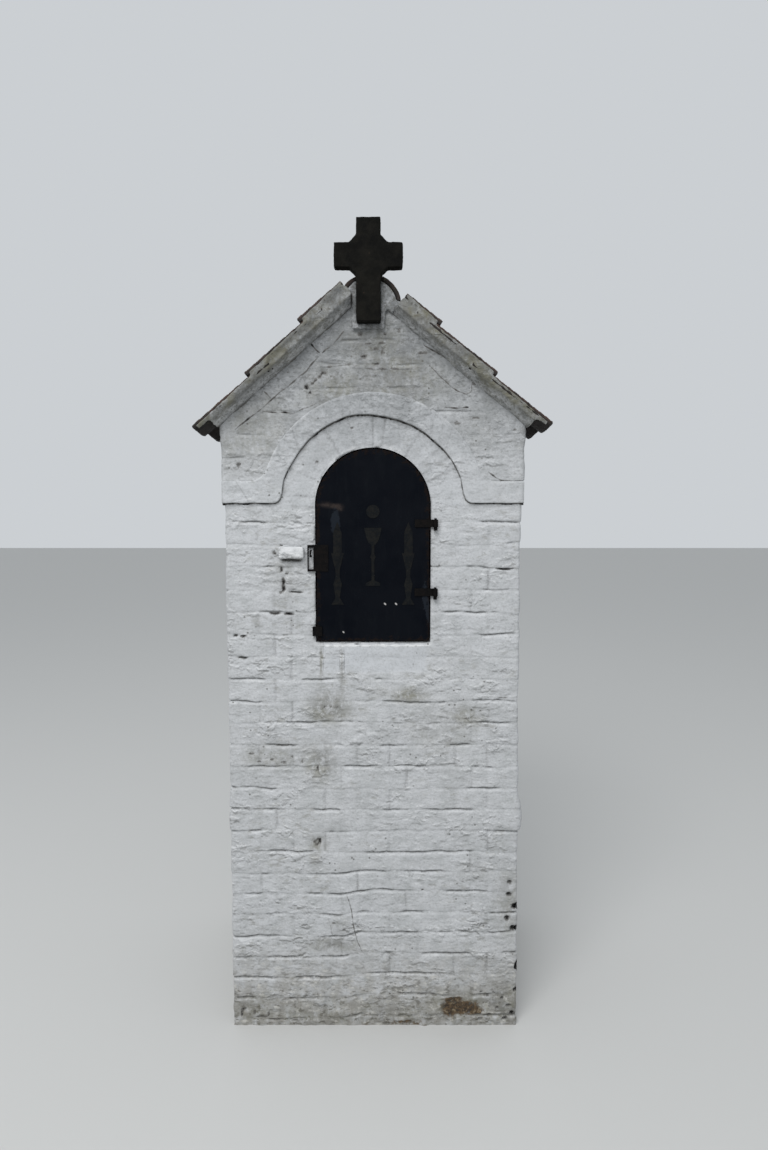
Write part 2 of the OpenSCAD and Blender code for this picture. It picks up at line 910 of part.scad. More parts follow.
// Slotted plate on the door that drops over the staple
module latch_plate() {
    outer_x = -(niche_r + latch_out);
    color(iron) difference() {
        block([outer_x, leaf_front_y - latch_t, latch_z],
            [outer_x + latch_w, leaf_front_y, latch_z + latch_h]);
        block([slot_x - slot_w / 2, leaf_front_y - latch_t - 1, slot_z],
            [slot_x + slot_w / 2, leaf_front_y + 1, slot_z + slot_h]);
    }
}

// Iron lug riveted over the corner of the sheet, which stops the door against the wall
module corner_lug() {
    outer_x = -(niche_r + lug_out);
    color(iron) block([outer_x, leaf_front_y - lug_t, lug_z - lug_s / 2],
        [outer_x + lug_s, leaf_front_y, lug_z + lug_s / 2]);
}

// Right half of the chalice from the rim of its cup down to its foot
function chalice_half() = let (cup_foot = chalice_h - cup_h, knop_h = chalice_h / 2) [
    [cup_w / 2, chalice_h], [cup_w * cup_belly / 2, chalice_h - cup_h / 2],
    [cup_w * cup_neck / 2, cup_foot + cup_h / 6], [cup_stem / 2, cup_foot],
    [cup_stem / 2, knop_h + cup_stem], [cup_stem, knop_h], [cup_stem / 2, knop_h - cup_stem],
    [cup_stem / 2, 2 * cup_foot_h], [cup_foot_w / 2, cup_foot_h], [cup_foot_w / 2, 0]
];

// Chalice cut from sheet: cup, stem with a knop, and foot
module chalice() {
    points = chalice_half();
    last = len(points) - 1;
    color(grey) front_prism(leaf_front_y - orn_t, leaf_front_y) translate([0, chalice_z])
        polygon(concat(points, [for (i = [0 : last]) [-points[last - i][0], points[last - i][1]]]));
}

module host() {
    color(grey) front_prism(leaf_front_y - orn_t, leaf_front_y)
        translate([0, host_z]) circle(r = host_r, $fn = small);
}

// Candlestick and candle cut from sheet, standing at one side of the chalice
module candlestick_outline() {
    foot_w = candle_h / 6.5;
    stem_w = foot_w / 3;
    unit = candle_h / 12;
    polygon([
        [-foot_w / 2, 0], [foot_w / 2, 0], [stem_w / 2, unit], [foot_w / 3, 3 * unit],
        [stem_w / 2, 4 * unit], [stem_w / 2, 5 * unit], [foot_w / 2, 7.5 * unit],
        [stem_w, 7.5 * unit], [stem_w, 10.5 * unit], [0, 12 * unit], [-stem_w, 10.5 * unit],
        [-stem_w, 7.5 * unit], [-foot_w / 2, 7.5 * unit], [-stem_w / 2, 5 * unit],
        [-stem_w / 2, 4 * unit], [-foot_w / 3, 3 * unit], [-stem_w / 2, unit]
    ]);
}

module candlesticks() {
    color(grey) for (across = [-1, 1])
        front_prism(leaf_front_y - orn_t, leaf_front_y)
            translate([across * candle_x, candle_z]) candlestick_outline();
}

pillar();
niche_floor();
left_jamb();
right_jamb();
niche_back();
arch_ring();
niche_vault();
left_haunch();
right_haunch();
crown();
hood_mould();
front_gable();
back_gable();
front_rakes();
back_rakes();
front_verge_mortar();
back_verge_mortar();
left_roof_bed();
right_roof_bed();
left_tiles_top();
left_tiles_middle();
left_tiles_eave();
right_tiles_top();
right_tiles_middle();
right_tiles_eave();
ridge_bed();
ridge_tiles();
cross_seat();
cross();
keeper_block();
upper_pintle();
lower_pintle();
latch_staple();
door_leaf();
door_rim();
upper_strap();
lower_strap();
latch_plate();
corner_lug();
chalice();
host();
candlesticks();
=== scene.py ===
import math

import bmesh
import bpy
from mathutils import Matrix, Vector, noise


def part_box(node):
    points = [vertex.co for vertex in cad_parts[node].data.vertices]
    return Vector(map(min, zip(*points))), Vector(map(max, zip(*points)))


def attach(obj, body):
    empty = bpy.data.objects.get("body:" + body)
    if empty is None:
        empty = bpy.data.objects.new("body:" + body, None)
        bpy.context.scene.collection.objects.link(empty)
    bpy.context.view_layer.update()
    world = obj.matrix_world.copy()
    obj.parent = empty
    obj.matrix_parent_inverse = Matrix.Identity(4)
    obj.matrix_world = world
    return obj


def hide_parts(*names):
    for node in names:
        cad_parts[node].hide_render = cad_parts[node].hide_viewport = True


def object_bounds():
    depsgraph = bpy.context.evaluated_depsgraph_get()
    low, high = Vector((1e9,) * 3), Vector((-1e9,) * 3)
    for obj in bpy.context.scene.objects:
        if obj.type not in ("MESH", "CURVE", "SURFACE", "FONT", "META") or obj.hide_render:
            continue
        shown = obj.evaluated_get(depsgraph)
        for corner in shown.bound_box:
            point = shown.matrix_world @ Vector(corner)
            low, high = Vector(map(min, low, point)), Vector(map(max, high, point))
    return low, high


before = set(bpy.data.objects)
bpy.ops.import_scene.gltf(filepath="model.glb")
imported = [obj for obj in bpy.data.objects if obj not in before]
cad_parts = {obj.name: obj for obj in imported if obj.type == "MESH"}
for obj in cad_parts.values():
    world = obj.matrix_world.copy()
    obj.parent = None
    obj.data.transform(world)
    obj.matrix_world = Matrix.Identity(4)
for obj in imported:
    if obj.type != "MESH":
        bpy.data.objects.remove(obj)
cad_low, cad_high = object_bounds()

# A wayside shrine of limewashed brick under a small pantile roof. Metres throughout; lengths
# that are easier to read in millimetres are written as a number times MM.
MM = 0.001

# Places taken from the frame
PILLAR_LOW, PILLAR_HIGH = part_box("pillar")
BODY_HALF, FRONT_Y, BACK_Y = -PILLAR_LOW.x, PILLAR_LOW.y, PILLAR_HIGH.y
FOOT_LEAN = PILLAR_HIGH.x - BODY_HALF
NICHE_R, _, FLOOR_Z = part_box("niche_floor")[1]
SPRING_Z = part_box("arch_ring")[0].z
ARCH_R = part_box("arch_ring")[1].x
HOOD_LOW, HOOD_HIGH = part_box("hood_mould")
STRING_Z, HOOD_Y, UPPER_HALF = HOOD_LOW.z, HOOD_LOW.y, HOOD_HIGH.x
HOOD_OUT_R = HOOD_HIGH.z - SPRING_Z
APEX_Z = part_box("crown")[1].z
# Half width, front and back of the lower walls and of the upper block
LOWER = BODY_HALF, FRONT_Y, BACK_Y
UPPER = UPPER_HALF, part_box("front_gable")[0].y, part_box("back_gable")[1].y

# Sizes of the upper block and its hood mould
APEX_X = -14 * MM
WALL_TOP_Z = STRING_Z + 238 * MM
HOOD_H = 68 * MM
HOOD_TOP_Z = STRING_Z + HOOD_H
HOOD_FOOT_R = 28 * MM
HOOD_SWEEP_R = 60 * MM
RAKE_T = 46 * MM
RAKE_PROUD = 3 * MM

# Brickwork: one course with its joint, and half a brick with its joint
COURSE = 72 * MM
HALF_BRICK = 105 * MM
JOINT = 10 * MM
FIRST_BED = 25 * MM
BED_DEPTH = 7 * MM
PERPEND_DEPTH = 3.2 * MM
CORNER_R = 9 * MM
RING_BRICKS = 22
# Height at which mortar swells out at the upright edges
BULGE_Z = 0.725
# Steps up a course at which the grids have a row, close together at the joints
COURSE_STEPS = [0, 1.6, 3.6, 7.5, 14, 23, 33, 43, 52, 59, 64.5, 68.8]
# Width of the grids' columns on the lower and upper front, on the rear walls and round a corner
LOWER_STEP, UPPER_STEP = 5.2 * MM, 4.6 * MM
LOWER_REAR_STEP, UPPER_REAR_STEP, CORNER_STEP = 9 * MM, 8 * MM, 3 * MM
# Depths at which the lining of the niche has a row
NICHE_ROWS = [3, 8, 16, 30, 55, 90, 140, 200, 265, 330, 385, 400]


def clamp(value, low=0.0, high=1.0):
    return max(low, min(high, value))


def fade(distance, reach):
    """1 at a distance of nothing or less, easing down to 0 at the reach."""
    x = clamp(distance / reach)
    return 1 - x * x * (3 - 2 * x)


def wander(x, y, z):
    """Smooth noise, about -0.6 to 0.6."""
    return noise.noise(Vector((x, y, z)))


def swell(p, size, seed=0.0):
    """Smooth noise, about -1 to 1, with bumps of about the given size."""
    return 1.6 * wander(p[0] / size + seed, p[1] / size, p[2] / size + seed)


def along_wall(p, size, k):
    """Smooth noise that runs along the walls and differs from course to course."""
    return wander(p[0] / size, p[1] / size, k)


def chance(*key):
    """A number from 0 to 1 that is always the same for the same key."""
    value = math.sin(sum(k * w for k, w in zip(key, (12.9898, 78.233, 37.719, 4.581)))) * 43758.5453
    return value - math.floor(value)


# Wear on the front in millimetres: x, z, half width, half height, and a depth or, for a stain,
# a strength
OPEN_JOINTS_AND_SHADOWS = [
    (-290, 1530, 5, 8, 8), (-275, 1514, 10, 4, 8), (-287, 1489, 6, 16, 9), (-284, 1470, 8, 10, 7),
    (-290, 1457, 11, 3, 8), (-247, 1456, 23, 4, 10), (-314, 1389, 19, 5, 6), (-267, 1386, 18, 4, 7),
    (-440, 1318, 9, 4, 9), (-416, 1314, 12, 5, 10), (-417, 1246, 15, 4, 7), (-291, 1604, 6, 3, 5),
    # The entry at (-258, 1560) lies under the keeper block: its recess is painted black as the
    # block's shadow
    (-312, 1584, 7, 9, 5), (418, 1531, 29, 3, 9), (421, 1114, 30, 2.4, 3), (-258, 1560, 38, 4, 8),
    (443, 495, 9, 7, 12), (440, 454, 10, 7, 12), (460, 412, 12, 8, 15), (435, 374, 9, 7, 10),
    (458, 338, 14, 10, 15), (470, 204, 10, 14, 14),
    (-419, 1857, 7, 6, 5), (-142, 1944, 4, 4, 4), (-179, 1871, 5, 4, 4),
    (-192, 634, 7, 5, 5), (-184, 622, 10, 5, 5), (-174, 634, 5, 8, 6), (-178, 644, 8, 4, 5),
    (-130, 357, 7, 3, 3), (-97, 336, 5, 5, 3), (300, 1050, 16, 4, 3),
    (-206, 2098, 7, 8, 6), (-194, 2081, 6, 7, 6), (-188, 2108, 5, 6, 5), (-178, 2120, 7, 6, 5),
    (-163, 2132, 6, 5, 5), (-151, 2139, 10, 4, 5), (-128, 2134, 10, 5, 5), (-110, 2142, 7, 4, 4),
    (-27, 2189, 10, 7, 5), (-39, 2260, 12, 6, 4), (-12, 2229, 18, 4, 4),
    (27, 2231, 12, 5, 4), (11, 2213, 9, 5, 4), (38, 2260, 7, 6, 4), (11, 2170, 10, 4, 4),
    (-22, 2133, 15, 2.5, 3), (-98, 2035, 6, 4, 3), (46, 2049, 8, 4, 4), (-67, 1972, 6, 5, 3),
    (-69, 2344, 5, 6, 3), (3, 2286, 6, 5, 3), (19, 2286, 6, 4, 3), (155, 2203, 16, 4, 5),
    (313, 2109, 8, 7, 3), (441, 1966, 9, 4, 5), (80, 2268, 10, 6, 3), (30, 2205, 8, 8, 3),
    (139, 2029, 12, 4, 3), (260, 1989, 22, 5, 3), (322, 2004, 14, 6, 3), (119, 2311, 7, 5, 3),
    (-28, 1000, 4, 4, 3), (-184, 1000, 5, 5, 3), (-116, 1085, 5, 5, 3), (-136, 1086, 4, 4, 3),
    (-156, 1085, 5, 4, 3), (-395, 930, 12, 4, 3), (-330, 912, 8, 5, 3), (-290, 900, 12, 4, 3),
    (-372, 905, 7, 5, 3), (-262, 925, 7, 4, 3), (-230, 905, 6, 8, 3), (-180, 882, 6, 10, 3),
    (-290, 958, 26, 3, 3), (160, 470, 5, 5, 3), (352, 118, 7, 4, 5), (372, 104, 5, 4, 5),
    (392, 114, 5, 3, 5), (420, 97, 6, 6, 6), (440, 70, 8, 6, 6), (455, 40, 9, 10, 8),
    (405, 60, 6, 4, 5), (380, 36, 7, 4, 5), (462, 122, 7, 8, 8), (430, 24, 10, 5, 6),
    (350, 22, 9, 4, 4), (-440, 40, 4, 14, 4), (-398, 42, 4, 12, 4), (-420, 54, 24, 3, 4),
    (-372, 28, 24, 3, 4), (-326, 20, 28, 3, 4), (-350, 40, 4, 10, 4), (-250, 14, 30, 3, 3),
]
CHIPS = [
    (288, 62, 58, 24, 8), (250, 58, 26, 28, 7), (262, 90, 30, 10, 5), (332, 50, 26, 14, 7),
    (120, 8, 90, 8, 4), (-20, 6, 60, 6, 4),
]
STAINS = [
    (-166, 1240, 6, 66, 1.0), (-100, 1215, 7, 98, 0.85), (-132, 1262, 34, 26, 0.25),
    (-140, 1082, 58, 44, 1.0), (-112, 1060, 34, 14, 0.8), (-172, 900, 42, 56, 0.9),
    (-205, 925, 60, 34, 0.5), (112, 1122, 50, 22, 0.9), (40, 1135, 40, 16, 0.3),
    (300, 1052, 50, 30, 0.7), (220, 1015, 90, 60, 0.35), (-330, 920, 90, 36, 0.55),
    (-184, 628, 26, 24, 0.9), (-190, 585, 16, 40, 0.4), (292, 66, 110, 52, 0.9),
    (-128, 281, 72, 20, 0.9), (-108, 344, 40, 34, 0.35), (-280, 1500, 40, 70, 0.3),
    (330, 540, 60, 30, 0.3), (440, 420, 40, 110, 0.55), (430, 80, 70, 70, 0.9),
    (-400, 50, 90, 60, 0.6), (-380, 1960, 120, 120, 0.4), (40, 40, 240, 45, 0.6),
    (-180, 30, 160, 40, 0.7),
    (-110, 2080, 90, 70, 0.6), (60, 2120, 130, 80, 0.7), (0, 2240, 90, 60, 0.5),
]
# Thin open joints drawn along lines, and one painted highlight: width, darkness, and points as x,
# z. A darkness below nothing is a painted highlight along a lit edge, here the sill's top edge
# under the door.
CRACKS_AND_HIGHLIGHTS = [
    (5, 0.5, (-88, 452), (-73, 402), (-65, 336), (-51, 289), (-37, 255)),
    (4, 0.3, (-150, 375), (-141, 342), (-134, 309)),
    (9, -1.6, (-176, 1284), (-60, 1284.5), (70, 1284.5), (180, 1284)),
]
GABLE_LINES = [
    (5.5, 0.6, (-162, 2194), (-209, 2142), (-264, 2100), (-315, 2058), (-350, 2027), (-428, 1968)),
    (4.5, 0.45, (-155, 2200), (-120, 2228), (-85, 2270)),
    (6.5, 0.85, (-190, 2227), (-178, 2215), (-162, 2200)), (5, 0.45, (-337, 2084), (-315, 2061)),
    (6, 0.6, (-342, 2023), (-296, 2020), (-241, 2019)),
    (5, 0.45, (-230, 2025), (-202, 2035), (-175, 2048)),
    (7, 0.5, (-20, 2153), (38, 2153), (123, 2153)),
    (6, 0.4, (-163, 2158), (-116, 2160), (-66, 2165)),
    (5, 0.5, (177, 2160), (208, 2130), (239, 2103), (263, 2084), (290, 2075), (305, 2084),
     (307, 2107)),
    (6, 0.7, (157, 2224), (185, 2209), (254, 2168)),
    (5, 0.5, (297, 2138), (324, 2115), (371, 2081), (418, 2039), (450, 2000)),
    (6, 0.6, (224, 2036), (259, 2034), (298, 2036)),
    (5.5, 0.5, (360, 1838), (382, 1820), (405, 1808), (436, 1806), (465, 1807)),
]
# Past the long crack, right of here and below this height, the bed joints lie this much higher
CRACK_X, CRACK_TOP_Z, CRACK_STEP = -0.10, 0.60, 12 * MM


def patch(x, z, spot, softness=0.5):
    """How far a place lies inside an oval spot: 1 in its middle, 0 outside it."""
    across = (x / MM - spot[0]) / spot[2]
    up = (z / MM - spot[1]) / spot[3]
    reach = math.hypot(across, up)
    return fade(reach - (1 - softness), 2 * softness)


def foot_lean(x, z):
    """How far a place right of the middle moves out towards the pillar's foot."""
    return max(0.0, x) / BODY_HALF * FOOT_LEAN * clamp(1 - z / FLOOR_Z)


def opening_distance(x, z):
    """Distance from the edge of the arched opening, negative inside it."""
    if z > SPRING_Z:
        return math.hypot(x, z - SPRING_Z) - NICHE_R
    return max(abs(x) - NICHE_R, FLOOR_Z - z)


# The arch was drawn by hand: how far its line lies off a true arc, in millimetres, at angles
ARCH_WANDER = [(0, 0), (8, 3), (20, 4), (30, 1), (44, -5), (68, -6), (84, -5), (92, -2), (100, 3),
               (106, 6), (112, 2), (124, 3), (148, 1), (164, 6), (172, 4), (180, 0)]
HOOD_FOOT_X = math.sqrt(ARCH_R ** 2 - (STRING_Z - SPRING_Z) ** 2)


def arch_radius(x, z):
    """Radius of the inner edge of the hood mould in the direction of a place."""
    angle = clamp(math.degrees(math.atan2(z - SPRING_Z, x)), 0, 180)
    for (a, low_off), (b, high_off) in zip(ARCH_WANDER, ARCH_WANDER[1:]):
        if angle <= b:
            return ARCH_R + MM * (low_off + (high_off - low_off) * (angle - a) / (b - a))
    return ARCH_R


def slope_depth(x, z):
    """Distance below the nearer roof slope, and the distance down the slope from the apex."""
    side = -1 if x < APEX_X else 1
    angle = math.atan2(APEX_Z - WALL_TOP_Z, UPPER_HALF - side * APEX_X)
    across = side * (x - APEX_X)
    drop = APEX_Z - z
    return drop * math.cos(angle) - across * math.sin(angle), \
        across * math.cos(angle) + drop * math.sin(angle)


def bed_height(k, p, first_bed):
    """Height of the mortar bed under course k, which wanders along the wall."""
    z = first_bed + k * COURSE
    if first_bed == FIRST_BED:
        z += CRACK_STEP * clamp((p[0] - CRACK_X) / 0.06) * clamp((CRACK_TOP_Z - z) / 0.12)
    return (z + 6.5 * MM * along_wall(p, 0.20, 7.1 * k) + 4.2 * MM * along_wall(p, 0.06, 3.3 * k)
            + 1.6 * MM * along_wall(p, 0.019, 1.7 * k))


def joint_shows(k, p):
    """How open the mortar bed under a course is, from 0 where limewash fills it to 1."""
    run = along_wall(p, 0.11, 11.3 * k + 4)
    ragged = along_wall(p, 0.022, 5.7 * k)
    low = 0.22 * clamp(1.6 - p[2] / 0.36) * clamp(p[2] / 0.1)
    return clamp(0.06 + 2.8 * clamp(run + 0.45 * ragged - 0.08 + low))


def course_level(k, p):
    """How far the bricks of course k stand in or out."""
    return (1.5 * MM * along_wall(p, 0.11, 5.7 * k + 9)
            + 0.9 * MM * along_wall(p, 0.4, 8.1 * k))


def perpend_groove(k, along, face, p):
    """Depth of the upright joints of course k at a distance along its wall."""
    header = k % 2 == 0
    pitch = HALF_BRICK if header else 2 * HALF_BRICK
    first = HALF_BRICK if header else 1.5 * HALF_BRICK
    n = round((along + JOINT / 2 - first) / pitch)
    if n < 0:
        return 0.0
    middle = first + n * pitch - JOINT / 2 + 4 * MM * (chance(k, n, face) - 0.5)
    strength = chance(n, k, face + 3) ** 1.6
    lean = 3 * MM * wander(n * 3.1, k * 2.3, p[2] / 0.03)
    return PERPEND_DEPTH * strength * fade(abs(along - middle - lean), 7 * MM)


def limewash_swell(p):
    """Waves, lumps and flaked edges in many coats of limewash."""
    flake = math.tanh(9 * wander(p[0] / 0.09, p[1] / 0.09, p[2] / 0.06 + 31))
    return (1.8 * MM * swell(p, 0.33, 3) + 1.0 * MM * swell(p, 0.07, 8)
            + 0.9 * MM * swell(p, 0.026, 5) + 0.8 * MM * flake)


def brick_relief(p, along, face, first_bed, filled=0.0):
    """Height of coursed brickwork over the plain wall, and a shade value: how dark its open joints
    are there, less a painted highlight along the top edge of each brick, plus a tone per brick;
    filled is how much of its joints the limewash fills."""
    k = math.floor((p[2] - first_bed) / COURSE)
    below = bed_height(k, p, first_bed)
    above = bed_height(k + 1, p, first_bed)
    if p[2] < below:
        k, above = k - 1, below
        below = bed_height(k, p, first_bed)
    elif p[2] >= above:
        k, below = k + 1, above
        above = bed_height(k + 1, p, first_bed)
    up, down = p[2] - below, above - p[2]
    low_show, high_show = joint_shows(k, p) * (1 - filled), joint_shows(k + 1, p) * (1 - filled)
    groove = BED_DEPTH * (0.1 + 0.9 * low_show) * fade(up, 3.2 * MM)
    groove += BED_DEPTH * (0.1 + 0.9 * high_show) * fade(down, 11 * MM) ** 1.5
    groove *= 1 - 0.5 * filled
    level = course_level(k, p)
    level += 0.5 * (course_level(k - 1, p) - level) * fade(up, 3.2 * MM)
    level += 0.5 * (course_level(k + 1, p) - level) * fade(down, 8 * MM)
    upright = perpend_groove(k, along, face, p) * (1 - filled)
    heavy = clamp(1.4 - p[2] / 0.8)
    dark = clamp(low_show * fade(up, 2.6 * MM) + high_show * fade(down, (3.8 + 2.6 * heavy) * MM)
                 + 0.45 * upright / PERPEND_DEPTH)
    # light is a painted highlight along the top edge of each brick, just under the bed joint above
    # it
    light = (0.2 * (1 - filled) + 0.7 * high_show) * fade(abs(down - 8 * MM), 5 * MM)
    tone = 0.10 * (chance(k, round(along / (2 * HALF_BRICK) + 0.5 * (k % 2)), face + 6) - 0.5)
    return level - max(groove, upright) + limewash_swell(p), dark - 0.6 * light + tone


def spots_near(spots, x, z, softness, margin):
    """The depth or strength of each spot near a place, with how far the place lies inside it."""
    for spot in spots:
        if (abs(x / MM - spot[0]) < 2 * spot[2] + margin
                and abs(z / MM - spot[1]) < 2 * spot[3] + margin):
            yield spot[4], patch(x, z, spot, softness)


def front_wear_and_shadow(x, z):
    """Depth of the damage on the front, and how stained, bare and black it is there; the black
    includes a painted shadow under the keeper block.
    """
    depth = stain = bare = black = 0.0
    x += 4 * MM * wander(x / 0.02, 5, z / 0.02)
    z += 4 * MM * wander(x / 0.025, 9, z / 0.02)
    for much, inside in spots_near(OPEN_JOINTS_AND_SHADOWS, x, z, 0.45, 4):
        depth = max(depth, much * MM * inside)
        black = max(black, inside * min(1.0, 0.5 + 0.075 * much))
    for much, inside in spots_near(CHIPS, x, z, 0.6, 4):
        depth = max(depth, 0.6 * much * MM * inside)
        bare = max(bare, inside)
    for much, inside in spots_near(STAINS, x, z, 0.9, 0):
        stain = max(stain, much * inside)
    return depth, stain, bare, black


def wall_path(s, plan):
    """Point, outward direction and face of the walls at a distance s from the front's middle."""
    half, front, back = plan
    side = -1 if s < 0 else 1
    a = abs(s)
    turn = CORNER_R * math.pi / 2
    front_run = half - CORNER_R
    side_run = back - front - 2 * CORNER_R
    if a <= front_run:
        return side * a, front, 0.0, -1.0, 0
    a -= front_run
    if a <= turn:
        t = a / CORNER_R
        return (side * (front_run + CORNER_R * math.sin(t)), front + CORNER_R * (1 - math.cos(t)),
                side * math.sin(t), -math.cos(t), 0)
    a -= turn
    if a <= side_run:
        return side * half, front + CORNER_R + a, side * 1.0, 0.0, 1 if side > 0 else 3
    a -= side_run
    if a <= turn:
        t = a / CORNER_R
        return (side * (front_run + CORNER_R * math.cos(t)), back - CORNER_R * (1 - math.sin(t)),
                side * math.cos(t), math.sin(t), 2)
    a -= turn
    return side * (front_run - a), back, 0.0, 1.0, 2


def corner_ends(plan):
    """Distances along the path to the end of the front corner and to both ends of the back one."""
    half, front, back = plan
    turn = CORNER_R * math.pi / 2
    first = half - CORNER_R + turn
    second = first + back - front - 2 * CORNER_R
    return first, second, second + turn


def stations(stops, step):
    """Even steps between each pair of stops."""
    found = [stops[0]]
    for a, b in zip(stops, stops[1:]):
        count = max(1, round((b - a) / step))
        found += [a + (b - a) * i / count for i in range(1, count + 1)]
    return found


def course_rows(low, high, first_bed, extra=()):
    """Rows of a wall's grid: a height, or a course and the step up it."""
    rows = [(None, low)] + [(None, z) for z in extra]
    floor = max([low, *extra])
    for k in range(math.floor((low - first_bed) / COURSE), math.ceil((high - first_bed) / COURSE)):
        for step in COURSE_STEPS:
            z = first_bed + k * COURSE + step * MM
            if floor + 4 * MM < z < high - 4 * MM:
                rows.append((k, step * MM))
    return rows + [(None, high)]


def grid_index(share, count):
    """Number of a grid's row or column from a place between -1 and 1."""
    return round((share + 1) / 2 * (count - 1))


def flat_grid(columns, rows, plan, first_bed):
    """Grid of a wall rolled out flat: x is the distance along the path and y the height."""
    bm = bmesh.new()
    bm.verts.layers.float_color.new("wear")
    bmesh.ops.create_grid(bm, x_segments=len(columns) - 1, y_segments=len(rows) - 1, size=1)
    spots = [wall_path(s, plan) for s in columns]
    for v in bm.verts:
        i = grid_index(v.co.x, len(columns))
        k, z = rows[grid_index(v.co.y, len(rows))]
        if k is not None:
            p = (spots[i][0], spots[i][1], 0)
            bed = bed_height(k, p, first_bed)
            z = bed + z / COURSE * (bed_height(k + 1, p, first_bed) - bed)
        v.co = Vector((columns[i], z, 0))
    return bm


def drop_faces(bm, covered):
    """Deletes the faces of a flat grid whose middle a test finds covered."""
    bmesh.ops.delete(bm, geom=[f for f in bm.faces if covered(*f.calc_center_median().xy)],
                     context="FACES")


def raise_walls(bm, plan, relief):
    """Stands a flat grid up as walls, with the relief, and the damage, dirt and painted light, that
    a function gives.
    """
    half, front, _ = plan
    wear = bm.verts.layers.float_color["wear"]
    for v in bm.verts:
        x, y, nx, ny, face = wall_path(v.co.x, plan)
        z = v.co.y
        along = x + half if face in (0, 2) else y - front
        height, shades = relief(Vector((x, y, z)), along, face)
        if plan == LOWER:
            x += foot_lean(x, z)
        v.co = Vector((x + nx * height, y + ny * height, z))
        v[wear] = shades


def new_object(name, data):
    """An object in the scene, at the origin."""
    made = bpy.data.objects.new(name, data)
    bpy.context.scene.collection.objects.link(made)
    return made


def mesh_of(name, bm):
    """A mesh of a finished bmesh, which is freed."""
    mesh = bpy.data.meshes.new(name)
    bm.to_mesh(mesh)
    bm.free()
    return mesh


def add_piece(name, bm, material, slot, replaces, body="shrine", smooth=True):
    """Makes an object of a finished mesh that rides on a body and stands for nodes of the frame."""
    mesh = mesh_of(name, bm)
    for polygon in mesh.polygons:
        polygon.use_smooth = smooth
    mesh.materials.append(material)
    piece = new_object(name, mesh)
    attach(piece, body)
    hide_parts(*replaces)


def paint(bm, shades):
    """Gives each point of a mesh the damage, dirt and painted light that a function says."""
    wear = bm.verts.layers.float_color.new("wear")
    for v in bm.verts:
        v[wear] = shades(v)


def cad_copy(name):
    """Copy of a CAD node's mesh, with its loose triangles joined up."""
    bm = bmesh.new()
    bm.from_mesh(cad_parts[name].data)
    bmesh.ops.remove_doubles(bm, verts=bm.verts, dist=1e-5)
    bmesh.ops.dissolve_limit(bm, angle_limit=math.radians(0.5), verts=bm.verts, edges=bm.edges)
    return bm


def remeshed(bm, voxel):
    """The same shape as an even mesh of small quads."""
    bmesh.ops.triangulate(bm, faces=bm.faces)
    draft = new_object("draft", mesh_of("draft", bm))
    modifier = draft.modifiers.new("even", "REMESH")
    modifier.mode = "VOXEL"
    modifier.voxel_size = voxel
    evaluated = draft.evaluated_get(bpy.context.evaluated_depsgraph_get())
    made = bmesh.new()
    made.from_mesh(evaluated.to_mesh())
    evaluated.to_mesh_clear()
    mesh = draft.data
    bpy.data.objects.remove(draft)
    bpy.data.meshes.remove(mesh)
    return made


def roughen(bm, height, rounds=2):
    """Rounds the edges of an even mesh, then moves its skin by what a function gives."""
    for _ in range(rounds):
        bmesh.ops.smooth_vert(bm, verts=bm.verts, factor=0.5, use_axis_x=True, use_axis_y=True,
                              use_axis_z=True)
    bm.normal_update()
    moves = [(v, v.normal * height(v.co)) for v in bm.verts]
    for v, move in moves:
        v.co += move


# Materials

def colour(red, green, blue):
    """Linear colour of a colour written in the usual 0 to 255 steps."""
    steps = [c / 255 for c in (red, green, blue)]
    return [c / 12.92 if c <= 0.04045 else ((c + 0.055) / 1.055) ** 2.4 for c in steps] + [1.0]


